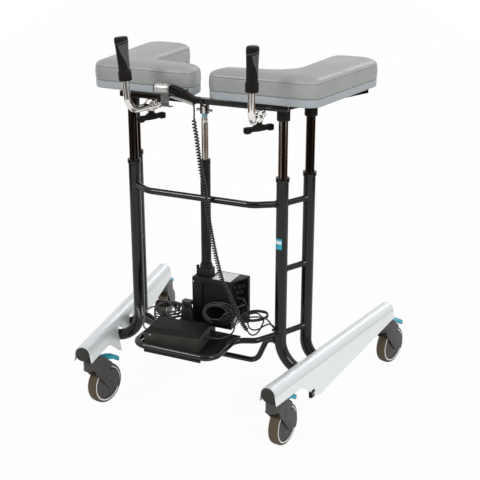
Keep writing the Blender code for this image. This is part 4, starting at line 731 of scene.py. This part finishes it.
# Handset: a silver shell in dark rims with two flat silver keys, a black two-part body with
# the curly lead's boot, a thin strip under it, and the grey bracket on the crossbar.
silver = Finish("handset_silver", "handset_silver", Base_Color=(0.58, 0.57, 0.55, 1),
                Metallic=0.85)
silver.scuffed(60, 4, 0.28, 0.42).grained(2200, 3, 0.00003)
turquoise = Finish("turquoise_plastic", "pedal_turquoise", Roughness=0.36,
                   Specular_IOR_Level=0.35)
turquoise.mottled(55, 3, (0.006, 0.37, 0.49), (0.01, 0.43, 0.55)).grained(900, 3, 0.00008)
grey = Finish("bracket_grey", "bracket_grey", Roughness=0.4, Metallic=0.25)
grey.mottled(60, 4, (0.165, 0.16, 0.155), (0.225, 0.22, 0.212)).grained(700, 3, 0.00006)
handset_y = -0.1975
shell_line = turned((0, handset_y, 0.849), 90, "Y")
shell = rod(-0.109, -0.068, 0.011, 0.0009, 56, plane=shell_line)
rims = [rod(place, place + 0.0012, 0.01112, 0.0003, 56, plane=shell_line)
        for place in (-0.0735, -0.07)]
rims.append(rod(-0.1094, -0.1066, 0.0113, 0.0008, 56, plane=shell_line))
dressed("handset_shell", shell, silver, "upper")
dressed("handset_rims", rims, rubber, "upper", "handset_shell")
for key, x in (("up", -0.096), ("down", -0.082)):
    dressed("handset_key_" + key,
            rod((x, handset_y, 0.8575), (x, handset_y, 0.8616), 0.0045, 0.0008), silver,
            "key_" + key)
outline = rounded(((-0.0677, 0.8395, 0.002), (-0.056, 0.8378, 0.02), (-0.031, 0.8315, 0.02),
                   (0.006, 0.819, 0.003), (0.006, 0.832, 0.003), (-0.028, 0.8485, 0.02),
                   (-0.052, 0.8575, 0.02), (-0.0677, 0.8598, 0.002)), 6)
body = [slab(outline, 0.1875, 0.2075, FACING, 0.0042),
        block((-0.0022, -0.0106, -0.0112), (0.0022, 0.0106, 0.0118), 0.0014,
              turned((-0.03, handset_y, 0.84), 27.5, "Y")),
        rod((-0.0045, handset_y, 0.8252), (-0.0045, handset_y, 0.817), 0.0034, 0.0006, 24)]
dressed("handset_body", body, rubber, "upper")
hook = [block((-0.101, -0.1862, 0.804), (-0.079, -0.1842, 0.857), 0.0007),
        block((-0.099, -0.1962, 0.804), (-0.067, -0.1852, 0.806), 0.0007),
        block((-0.097, -0.1852, 0.8145), (-0.083, -0.1728, 0.8255), 0.001)]
dressed("handset_hook", hook, grey, "upper")
strip = rounded(((-0.079, 0.8262, 0.001), (-0.06, 0.8228, 0.02), (-0.04, 0.819, 0.02),
                 (-0.014, 0.8118, 0.002), (-0.007, 0.8122, 0.001), (-0.012, 0.8185, 0.003),
                 (-0.04, 0.8262, 0.02), (-0.07, 0.8305, 0.003)), 5)
dressed("handset_strip", slab(strip, 0.1862, 0.1892, FACING, 0.0008), silver, "upper",
        "handset_hook")


# Upper frame: flat black bars under the pads, capped sockets over the four inner tubes and
# the lugs that hold the rod's eye on its pin.
paint = Finish("black_powder_paint", "frame_black", Specular_IOR_Level=0.42)
paint.mottled(13, 4, (0.0038, 0.0036, 0.003), (0.0072, 0.0069, 0.0058))
paint.scuffed(330, 3, 0.08, 0.14).grained(330, 3, 0.00002)
steel = Finish("pin_steel", "pin_steel", Base_Color=(0.6, 0.59, 0.57, 1), Metallic=1.0)
steel.scuffed(70, 4, 0.16, 0.34).grained(1300, 2, 0.00002)
lift_y, bar_low, bar_high = -0.15, 0.8135, 0.8275
both_sides = ("left", -1), ("right", 1)
posts = {"front": (0.2064, -0.1465), "rear": (0.2448, -0.0665)}
bars = [block((-0.226, -0.1725, bar_low), (0.226, -0.1525, bar_high), 0.0016)]
for side, sign in both_sides:
    arm_start, arm_end = (Vector((sign * x, y)) for x, y in (posts["front"], (0.3155, 0.129)))
    line = arm_end - arm_start
    arm = turned((*arm_start, 0), math.degrees(math.atan2(line.y, line.x)) - 90)
    bars.append(block((-0.011, -0.012, bar_low), (0.011, line.length, bar_high), 0.0016, arm))
    bars += [rod((sign * x, y, bar_low), (sign * x, y, 0.8155), 0.0163, 0.0005)
             for x, y in posts.values()]
    bars.append(block((sign * 0.0078 - 0.001, -0.158, 0.786),
                      (sign * 0.0078 + 0.001, -0.142, 0.8175), 0.0006))
    dressed("socket_caps_" + side,
            [rod((sign * x, y, low), (sign * x, y, high), radius, edge)
             for low, high, radius, edge in ((0.788, 0.815, 0.016, 0.0014),
                                             (0.808, 0.811, 0.01615, 0.0006))
             for x, y in posts.values()], rubber, "upper", "upper_frame")
dressed("upper_frame", bars, paint, "upper")
pin = [rod((start, lift_y, 0.795), (stop, lift_y, 0.795), 0.0036, edge, 24)
       for start, stop, edge in ((-0.019, 0.019, 0.0004), (-0.021, -0.0192, 0.0008),
                                 (0.0192, 0.021, 0.0008))]
dressed("lift_pin", pin, steel, "upper")


# Lift: drawn inner tubes and the actuator's bright rod slide out of the posts and of the black
# column. The tubes' dark brown colour and the streaks on tubes and rod are painted reflection. The
# rod's eye sits between the lugs, above a small plain turquoise patch.
tubes = Finish("tube_chrome", "chrome", Metallic=1.0)
reflection_streaks = tubes.noise(160, 2, tubes.place((1, 1, 0.006)))
# The tubes' dark brown base and their lighter streaks are painted reflection of a dark room.
tubes.feed("Base Color", tubes.mixed(tubes.step(reflection_streaks, 0.56, 0.64), (0.034, 0.024, 0.017),
                                     (0.27, 0.225, 0.185)))
tubes.feed("Roughness", tubes.step(reflection_streaks, 0.3, 0.75, 0.07, 0.17))
tubes.grained(900, 2, 0.00001)
for side, sign in both_sides:
    for end, (x, y) in posts.items():
        dressed(f"{end}_inner_tube_{side}",
                rod((sign * x, y, 0.345), (sign * x, y, 0.7877), 0.0114, 0.0008, 56), tubes,
                "upper")
rod_steel = Finish("rod_chrome", "chrome")
height = rod_steel.axis(rod_steel.place(), 2)
patch = (height > 0.7774) * (height < 0.7873) * 0.8
reflection_streaks = rod_steel.noise(190, 2, rod_steel.place((1, 1, 0.006)))
# The rod's brown and bright streaks are painted reflection.
drawn = rod_steel.mixed(rod_steel.step(reflection_streaks, 0.34, 0.44), (0.46, 0.37, 0.29),
                        (0.9, 0.875, 0.84))
rod_steel.feed("Base Color", rod_steel.mixed(patch, drawn, (0.08, 0.36, 0.46)))
rod_steel.feed("Metallic", 1.0 - patch)
rod_steel.scuffed(40, 4, 0.12, 0.24).grained(1400, 2, 0.00002)
eye = slab(rounded(((-0.0065, 0.77, 0.0005), (0.0065, 0.77, 0.0005),
                    (0.0065, 0.808, 0.0063), (-0.0065, 0.808, 0.0063)), 8),
           -0.00525, 0.00525, turned((0, lift_y, 0)) @ ALONG, 0.0008)
dressed("actuator_rod", [
    rod((0, lift_y, 0.4), (0, lift_y, 0.766), 0.0088, 0.0006, 48),
    rod((0, lift_y, 0.7655), (0, lift_y, 0.7775), 0.0079, 0.0012, 48), eye], rod_steel, "upper")
plastic = Finish("dark_plastic", "dark_plastic", Specular_IOR_Level=0.22)
plastic.mottled(20, 4, (0.006, 0.0059, 0.0056), (0.011, 0.0108, 0.0102))
plastic.scuffed(90, 3, 0.36, 0.5).grained(1600, 3, 0.00014)
housing = [loft([softened((0, lift_y, z), half, half, power)
                 for z, half, power in ((0.168, 0.0152, 12), (0.17, 0.017, 12),
                                        (0.383, 0.017, 12), (0.385, 0.0152, 12),
                                        (0.385, 0.0102, 2), (0.29, 0.0102, 2))]),
           lathe(((0.0102, 0.38), (0.0165, 0.38), (0.0165, 0.393), (0.0155, 0.3945),
                  (0.014, 0.395), (0.014, 0.399), (0.0102, 0.399)), 48,
                 turned((0, lift_y, 0))),
           lathe(((0.0102, 0.385), (0.0128, 0.385), (0.0128, 0.6585), (0.0131, 0.659),
                  (0.0131, 0.6712), (0.0126, 0.672), (0.0102, 0.672)), 48,
                 turned((0, lift_y, 0))),
           rod((-0.0195, -0.16, 0.38), (-0.0195, -0.16, 0.392), 0.004, 0.0014, 24),
           block((-0.0225, -0.163, 0.366), (-0.0165, -0.157, 0.383), 0.0012)]
dressed("actuator_body", housing, plastic, "frame")


# Posts and rails: bent and welded tube in gloss black. Each post ends in a collar round its
# inner tube; the right front one carries a plain turquoise and white band and the lead's clip.
post_radius, rung_radius = 0.015, 0.0075


def weld(at, towards, radius):
    """The fillet where a thin tube runs out of a post."""
    at, towards = Vector(at), (Vector(towards) - Vector(at)).normalized()
    return rod(at + towards * (post_radius - 0.003), at + towards * (post_radius + 0.0042),
               radius + 0.0028, 0.0, 32, radius)


middle_z, roof, wall, profile_length, splay = 0.1705, 0.0215, 0.0022, 0.622, 9.4
profile_x, profile_y, foot_z = 0.26, -0.348, 0.139


def lean_at(height):
    """How far a skirt has leaned out at a height below the roof."""
    return 0.013 * (middle_z - height) / 0.0745


def skirt_inside(height):
    return roof + max(lean_at(height), 0.0) - wall


def crossing(y, outboard):
    """Where a line of constant y meets a profile: distance along it, and |x|."""
    turn = math.radians(splay)
    along = (y - profile_y + outboard * math.sin(turn)) / math.cos(turn)
    return along, profile_x + along * math.sin(turn) + outboard * math.cos(turn)


band = Finish("post_band", "frame_black", Specular_IOR_Level=0.42)
band_x, band_y, band_z = (band.axis(band.place(), index) for index in range(3))
in_front = band_y < -0.15
turquoise_part = (band_z > 0.4683) * (band_z < 0.496) * (band_x < 0.2125) * in_front
white_part = (band_z > 0.482) * (band_z < 0.4905) * (band_x < 0.211) * in_front
band_base = band.mixed(turquoise_part, (0.0052, 0.005, 0.0042), (0.01, 0.36, 0.47))
band.feed("Base Color", band.mixed(white_part, band_base, (0.78, 0.8, 0.8)))
band.scuffed(330, 3, 0.08, 0.14).grained(330, 3, 0.00002)
frame_parts = {}
for side, sign in both_sides:
    for (end, (x, y)), round_off in zip(posts.items(), (0.082, 0.06)):
        rim = [(y + post_radius * math.cos(turn), foot_z + post_radius * math.sin(turn))
               for turn in (math.tau * step / 24 for step in range(24))]
        foot = min(crossing(at, skirt_inside(height) - 0.0003)[1] for at, height in rim)
        shaft = lathe(((0.0122, 0.242), (0.015, 0.24), (0.015, 0.6368), (0.0158, 0.6372),
                       (0.0168, 0.638), (0.017, 0.639), (0.017, 0.648), (0.0166, 0.6491),
                       (0.0158, 0.6495), (0.0122, 0.6495)), 56, turned((sign * x, y, 0)))
        route = bent((((sign * x, y, 0.2402), 0), ((sign * x, y, foot_z), round_off),
                      ((sign * foot, y, foot_z), 0)), 20)
        frame_parts[end, side] = [shaft, tube_along(route, post_radius, 56)]
        if (end, side) == ("front", "right"):
            frame_parts[end, side].append(
                block((0.1934, -0.1745, 0.2525), (0.2014, -0.1588, 0.258), 0.0016))
    thick, thin = (Vector((sign * x, y, 0)) for x, y in posts.values())
    out = (thin - thick).normalized()
    for z in (0.2368, 0.41, 0.582):
        low, high = thick + Vector((0, 0, z)), thin + Vector((0, 0, z))
        frame_parts["rear", side] += [
            rod(low + out * 0.0145, high - out * 0.0145, rung_radius, 0.0, 32),
            weld(low, high, rung_radius), weld(high, low, rung_radius)]
for (end, side), parts in frame_parts.items():
    look = band if (end, side) == ("front", "right") else paint
    dressed(f"{end}_post_{side}", parts, look, "frame", angle=40)

# Each rail's radius, its height at the front post, and its right half from there on.
rails = {"front_rail": (0.0083, 0.582, ((0.145, -0.1865, 0.582), 0.05)),
         "low_cross_tube": (0.0073, 0.215, ((0.17, -0.1465, 0.215), 0.02),
                            ((0.141, -0.1465, 0.147), 0.033)),
         "tray_loop": (0.0075, 0.2385, ((0.166, -0.2055, 0.234), 0.03),
                       ((0.1125, -0.2205, 0.2305), 0.03), ((0.1125, -0.3415, 0.2305), 0.034))}
for name, (radius, height, *half) in rails.items():
    half.insert(0, ((*posts["front"], height), 0))
    route = bent([((-x, y, z), bow) for (x, y, z), bow in half] + half[::-1], 14)
    start, stop = route[0].copy(), route[-1].copy()
    route[0] = start + (route[1] - start).normalized() * 0.0148
    route[-1] = stop + (route[-2] - stop).normalized() * 0.0148
    parts = [tube_along(route, radius, 36), weld(start, route[1], radius),
             weld(stop, route[-2], radius)]
    if name == "low_cross_tube":
        parts.append(block((-0.01, -0.158, 0.148), (0.01, -0.14, 0.1677), 0.0012))
    dressed(name, parts, paint, "frame", angle=40)


# Tray and what stands on it: a thin panel with an apron, the charger with its hipped lid, and
# the control box with a bare label, a plug cluster and the leads' boots.
panel_outline = rounded(((-0.109, -0.3415, 0.03), (0.109, -0.3415, 0.03),
                         (0.109, -0.1735, 0.002), (-0.109, -0.1735, 0.002)), 10)
dressed("tray_panel", [slab(panel_outline, 0.2207, 0.2227, turned(), 0.0006),
                       block((-0.0785, -0.3455, 0.2157), (0.0785, -0.3405, 0.2227), 0.0008)],
        plastic, "frame")
lid = block((-0.0725, -0.044, -0.0245), (0.0725, 0.044, 0.0245))
eased(lid, [e for e in lid.edges if all(v.co.z > 0 for v in e.verts)], 0.0115, 1)
bmesh.ops.recalc_face_normals(lid, faces=lid.faces)
eased(lid, lid.edges[:], 0.0012)
case = [lid]
for end in (-1, 1):
    case += [rod((end * start, 0, 0), (end * stop, 0, 0), radius, edge, 24)
             for start, stop, radius, edge in ((0.0705, 0.0792, 0.0036, 0.0006),
                                               (0.0735, 0.075, 0.0042, 0.0004))]
for build in case:
    build.transform(charger_place)
case_look = Finish("charger_case", "dark_plastic", Roughness=0.55, Specular_IOR_Level=0.12)
case_tone = case_look.patches(25, 4, (0.036, 0.036, 0.0325), (0.046, 0.046, 0.0415))
# The lid is painted much darker than the case below it: painted shade on the charger's top.
lid_shade = case_look.step(case_look.axis(case_look.place(), 2), 0.26, 0.261)
case_look.feed("Base Color", case_look.mixed(lid_shade, case_tone, (0.01, 0.01, 0.0088)))
case_look.grained(900, 3, 0.00016)
dressed("charger", case, case_look, "frame")
lamp = Finish("charger_lamp", "dark_plastic", Roughness=0.35)
lamp.mottled(300, 2, (0.72, 0.74, 0.72), (0.86, 0.88, 0.86)).grained(900, 2, 0.00003)
lamp_build = rod((-0.056, -0.0437, 0.008), (-0.056, -0.0443, 0.008), 0.0016, 0.0002, 20)
lamp_build.transform(charger_place)
dressed("charger_lamp", lamp_build, lamp, "frame", "charger")
box_outline = [(-0.027, -0.1785), (0.083, -0.1785), (0.083, -0.1225), (0.106, -0.1225),
               (0.106, -0.1125), (0.0173, -0.1125), (0.0173, -0.1673), (-0.0173, -0.1673),
               (-0.0173, -0.1125), (-0.027, -0.1125)]
box = slab(box_outline, 0.235, 0.366, turned(), 0.0016)
bmesh.ops.recalc_face_normals(box, faces=box.faces)
front = max((face for face in box.faces if face.normal.y < -0.99), key=lambda f: f.calc_area())
bmesh.ops.inset_region(box, faces=[front], thickness=0.006)
for vert in front.verts:
    vert.co.x = 0.0 if vert.co.x < 0.03 else 0.077
    vert.co.z = 0.252 if vert.co.z < 0.3 else 0.353
drawn_out(box, front, (0, 0.005, 0))
bmesh.ops.delete(box, geom=[front], context="FACES_ONLY")
parts, box_side = [box], 0.082
for y, z, reach in ((-0.1585, 0.318, 0.095), (-0.1385, 0.296, 0.095)):
    parts += [rod((box_side, y, z), (0.085, y, z), 0.0066, 0.0006, 32),
              rod((box_side, y, z), (reach, y, z), 0.0048, 0.001, 32)]
for y, z in ((-0.1585, 0.296), (-0.1385, 0.318)):
    parts.append(lathe(((0.004, -0.001), (0.0066, -0.001), (0.0066, 0.0016),
                        (0.006, 0.0024), (0.004, 0.0024)), 32, turned((0.083, y, z), 90, "Y")))
parts.append(slab([(box_side, -0.178), (0.0832, -0.1785), (0.1058, -0.123), (0.1058, -0.113),
                   (box_side, -0.113)], 0.3628, 0.3659, turned(), 0.0006))
for y, z, reach in ((-0.166, 0.349, 0.0885), (-0.149, 0.346, 0.095),
                    (-0.132, 0.343, 0.1), (-0.158, 0.333, 0.093),
                    (-0.14, 0.33, 0.0975), (-0.129, 0.306, 0.1),
                    (-0.149, 0.28, 0.093), (-0.13, 0.276, 0.0985)):
    parts += [rod((box_side, y, z), (reach - 0.004, y, z), 0.0072, 0.0008, 28),
              rod((reach - 0.005, y, z), (reach, y, z), 0.005, 0.0012, 28)]
dressed("control_box", parts, plastic, "frame")
label = Finish("bare_label", "dark_plastic", Roughness=0.45)
label.mottled(90, 4, (0.78, 0.79, 0.79), (0.62, 0.63, 0.63), 0.35).grained(400, 3, 0.00004)
stickers = [block((0.027, -0.174, 0.36595), (0.079, -0.1175, 0.36615), 0.00006),
            block((0.08295, -0.16, 0.2375), (0.08325, -0.126, 0.266), 0.00008),
            rod((-0.0235, -0.17862, 0.353), (-0.0235, -0.1784, 0.353), 0.0016, 0.0, 20)]
dressed("control_box_label", stickers, label, "frame", "control_box")


# Side profiles: extruded alloy with a round roof, skirts that lean out and a groove below the
# roof. The outboard skirt is arched, the inboard one notched for the posts' feet.
alloy = Finish("anodised_alloy", "profile_silver", Metallic=0.5)
run, _, groove = alloy.own_map("run")
draw_lines = alloy.noise(1.0, 3, alloy.node("Mapping", (), {"Vector": run,
                                                            "Scale": (4, 900, 1)}))
# The dark line along the groove below the roof is painted shadow.
line = alloy.within(groove, 0.0, 0.0022, 0.0026, 0.005)
tone = alloy.mixed(alloy.step(draw_lines, 0.3, 0.7), (0.83, 0.868, 0.878),
                   (0.875, 0.905, 0.91))
# The roof takes a darker tone than the skirts; the skirts' lighter tone is painted reflection of
# the white floor.
tone = alloy.mixed(alloy.step(groove, 0.0035, 0.0065), tone, (0.72, 0.752, 0.762))
alloy.feed("Base Color", alloy.mixed(line * 0.42, tone, (0.3, 0.29, 0.27)))
alloy.feed("Roughness", alloy.step(draw_lines, 0.3, 0.7, 0.4, 0.48))
alloy.relief(draw_lines, 0.00002)


def skirt_edge(along):
    """The outboard skirt's lower edge: level, an arch, and a slow rise to the rear."""
    if along < 0.105:
        return 0.149
    if along < 0.193:
        return 0.1 + 0.049 * (1 + math.cos(math.pi * (along - 0.105) / 0.088)) / 2
    return 0.1 + 0.05 * (along - 0.193) / 0.429


notches, between = ([crossing(y, -reach)[0] for _, y in posts.values()]
                    for reach in (skirt_inside(foot_z), roof))
notch_radius = 0.018


def inboard_edge(along):
    """The outboard skirt's edge, cut level between the posts and notched round their feet."""
    edge = skirt_edge(along)
    if between[0] <= along <= between[1]:
        edge = max(edge, 0.136)
    for notch in notches:
        if abs(along - notch) < notch_radius:
            edge = 0.149 + math.sqrt(notch_radius ** 2 - (along - notch) ** 2)
    return edge


def section(along, outboard_low, inboard_low):
    """One closed ring: outside from the outboard edge over the roof, and back inside."""
    outboard, inboard = ([(roof + lean_at(z), z) for z in np.linspace(low, middle_z, 9)]
                         for low in (outboard_low, inboard_low))
    outline = outboard
    for step in range(1, 40):
        turn = math.pi * step / 40
        groove = sum(0.0009 * math.exp(-((math.degrees(turn) - line) / 3.0) ** 2)
                     for line in (12, 168))
        outline.append(((roof - groove) * math.cos(turn), middle_z + (roof - groove)
                        * math.sin(turn)))
    outline += [(-x, z) for x, z in inboard[::-1]]
    inside = []
    for x, z in outline:
        above = Vector((x, max(z - middle_z, 0)))
        above *= wall / max(above.length, 1e-6)
        inside.append((x - above.x, z - above.y))
    return [(x, along, z) for x, z in outline + inside[::-1]]


stations = {0.0, profile_length, 0.193, *between, *(edge + 0.0002 for edge in between)}
stations |= set(np.linspace(0, profile_length, 70))
stations |= {0.105 + 0.088 * step / 24 for step in range(25)}
for notch in notches:
    stations |= {notch + notch_radius * math.sin(math.pi / 2 * step / 12)
                 for step in range(-12, 13)}
    stations |= {notch - notch_radius - 0.0002, notch + notch_radius + 0.0002}
stations = [station for station in sorted(stations) if 0 <= station <= profile_length]
square = ((-1, -1), (1, -1), (1, 1), (-1, 1))
for side, sign in both_sides:
    place = turned((sign * profile_x, profile_y, 0), -sign * splay)
    rings = [[place @ Vector((sign * x, y, z)) for x, y, z in
              section(along, skirt_edge(along), inboard_edge(along))] for along in stations]
    count = len(rings[0])
    build = bmesh.new()
    grid = [[build.verts.new(spot) for spot in ring] for ring in rings]
    for lower, upper in zip(grid, grid[1:]):
        for index in range(count):
            after = (index + 1) % count
            build.faces.new((lower[index], lower[after], upper[after], upper[index]))
    for ring in (grid[0], grid[-1]):
        for index in range(count // 2 - 1):
            build.faces.new((ring[index], ring[index + 1], ring[count - 2 - index],
                             ring[count - 1 - index]))
    profile = dressed("side_profile_" + side, build, alloy, "frame", angle=30)
    runs = profile.data.uv_layers.new(name="run")
    for loop in profile.data.loops:
        ring_at, spot = divmod(loop.vertex_index, count)
        runs.data[loop.index].uv = (stations[ring_at], rings[ring_at][spot].z - middle_z)
    for end, start, stop in (("front", -0.002, 0.05), ("rear", 0.572, 0.624)):
        cap = rod(start, stop, 0.019, 0.0012, 56,
                  plane=place @ turned((0, 0, middle_z), -90, "X"))
        dressed(f"profile_cap_{end}_{side}", cap, case_look, "frame")
    arch_stop = rounded([(0.162 + a * 0.009, 0.1135 + b * 0.0108, 0.003) for a, b in square], 6)
    centre = [(0.162 + a * 0.0045, 0.1135 + b * 0.0052) for a, b in square]
    dressed("arch_stop_" + side, slab(arch_stop, *sorted((sign * 0.0225, sign * 0.0312)),
                                      place @ ALONG, 0.0016), plastic, "frame")
    dressed("arch_stop_centre_" + side, slab(centre, *sorted((sign * 0.031, sign * 0.0319)),
                                             place @ ALONG, 0.0003), grey, "frame",
            "arch_stop_" + side)


# Casters: warm dark-grey forks with covered sides, taupe tyres with a thin pale ring, dark
# discs, and turquoise brake pedals. Each is built round its own stem and turned into place.
fork_plastic = Finish("fork_plastic", "caster_plastic", Specular_IOR_Level=0.4)
fork_plastic.mottled(26, 4, (0.046, 0.043, 0.0395), (0.06, 0.0565, 0.052))
fork_plastic.scuffed(90, 3, 0.36, 0.5).grained(1300, 3, 0.00012)
tread = Finish("tread_rubber", "wheel_tread", Roughness=0.62, Specular_IOR_Level=0.3)
tread.mottled(30, 4, (0.074, 0.054, 0.032), (0.1, 0.075, 0.045)).grained(700, 4, 0.00012)
pale = Finish("wheel_ring", "wheel_tread", Roughness=0.4)
pale.mottled(60, 4, (0.74, 0.74, 0.73), (0.82, 0.82, 0.81)).grained(900, 3, 0.00006)
wheel_y, wheel_z = 0.0475, 0.0545


def round_wheel(radius, bearings):
    """Points on a circle round the axle, seen from the side."""
    return [(wheel_y + radius * math.cos(math.radians(turn)),
             wheel_z + radius * math.sin(math.radians(turn))) for turn in bearings]


head = [(0.0, 0.144), (0.014, 0.146), (0.042, 0.1335), (0.0438, 0.13),
        (0.0445, 0.1217), (0.052, 0.1217), (0.06, 0.115)]
cheek = [(-0.004, 0.114), *head, (0.0625, 0.105), *round_wheel(0.04, range(88, -36, -6)),
         (0.047, 0.0395), (0.018, 0.0785), (0.005, 0.093), (-0.004, 0.104)]
core = [(0.0, 0.118), *head, (0.0612, 0.1104),
        *round_wheel(0.0575, np.linspace(76.3, 116.0, 12)), (0.014, 0.118)]
# A black block under the hood, in front of the cheeks, is painted shade: it darkens the gap above
# the tyre.
gap_shade_outline = [(-0.0125, 0.115), (-0.0125, 0.1085), (-0.006, 0.102), (0.004, 0.0965),
         (0.011, 0.104), (0.011, 0.115)]
hood = [(0.0, 0.134), (0.016, 0.132), (0.0166, 0.115), (0.0174, 0.1125), (0.0192, 0.1125),
        (0.0199, 0.115), (0.0199, 0.138), (0.019, 0.1425), (0.016, 0.1455), (0.0, 0.146)]
pedal_levels = ((-0.002, 0.0165, 0.0032, -0.0032), (0.006, 0.017, 0.0036, -0.0034),
                (0.016, 0.0172, 0.004, -0.004), (0.026, 0.0168, 0.0036, -0.0052),
                (0.036, 0.0162, 0.0024, -0.01), (0.044, 0.0145, -0.0002, -0.014),
                (0.0494, 0.0118, -0.003, -0.0158), (0.0522, 0.0078, -0.0066, -0.015))
# A wheel's turned outlines, as (radius, distance from its middle) on one side.
wheel_parts = (
    ("tyre", tread, ((0.0478, 0.013), (0.0505, 0.013), (0.0521, 0.0122), (0.0532, 0.0104),
                     (0.054, 0.0078), (0.0543, 0.004))),
    ("wheel_ring", pale, ((0.044, 0.0108), (0.0442, 0.0126), (0.0452, 0.0134),
                          (0.047, 0.0134), (0.048, 0.0127))),
    ("wheel_disc", fork_plastic, ((0.0046, 0.0138), (0.0148, 0.0138), (0.017, 0.0128),
                                  (0.0412, 0.0096), (0.0434, 0.01), (0.0441, 0.0116))))
for end, side, x, y, turn in (("front", "left", -0.25996, -0.311503, -10),
                              ("front", "right", 0.25996, -0.311503, -6),
                              ("rear", "left", -0.357669, 0.24197, 14),
                              ("rear", "right", 0.357669, 0.24197, -14)):
    where = f"{end}_{side}"
    stem = turned((x, y, 0), turn)
    axle = stem @ turned((0, wheel_y, wheel_z), 90, "Y")
    fork = [slab(core, -0.016, 0.016, stem @ ALONG), lathe(hood, 72, stem),
            *(slab(cheek, low, low + 0.0054, stem @ ALONG, 0.0018) for low in (0.0146, -0.02)),
            *(rod(*bolt, plane=plane) for plane, *bolt in (
                (stem, 0.14, 0.149, 0.017, 0.0016, 48), (stem, 0.145, 0.166, 0.006, 0.0006),
                (axle, -0.0204, 0.0204, 0.004, 0.0004, 24),
                (axle, 0.0195, 0.0206, 0.0062, 0.0006, 6),
                (axle, -0.0206, -0.0195, 0.0062, 0.0006, 6)))]
    dressed("caster_fork_" + where, fork, fork_plastic, "caster_" + where)
    # The painted shade block in the gap under the hood.
    dressed("fork_gap_shade_" + where, slab(gap_shade_outline, -0.017, 0.017, stem @ ALONG, 0.001), rubber,
            "caster_" + where, "caster_fork_" + where)
    for part, look, half in wheel_parts:
        outline = [*half, *((radius, -off) for radius, off in half[::-1])]
        dressed(f"{part}_{where}", lathe(outline, 72, axle), look, "wheel_" + where,
                "wheel_" + where)
    pivot = stem @ turned((0, 0.05, 0.1265), -12, "X")
    pedal = loft([[pivot @ Vector((spot.x, y, spot.y)) for spot in softened(
        (0, (top + bottom) / 2, 0), half, (top - bottom) / 2, 4.5, 32)]
                  for y, half, top, bottom in pedal_levels])
    pin = rod(-0.0136, 0.0136, 0.004, 0.0004, 24, plane=pivot @ turned((0, 0, 0), 90, "Y"))
    dressed("brake_pedal_" + where, [pedal, pin], turquoise, "pedal_" + where)
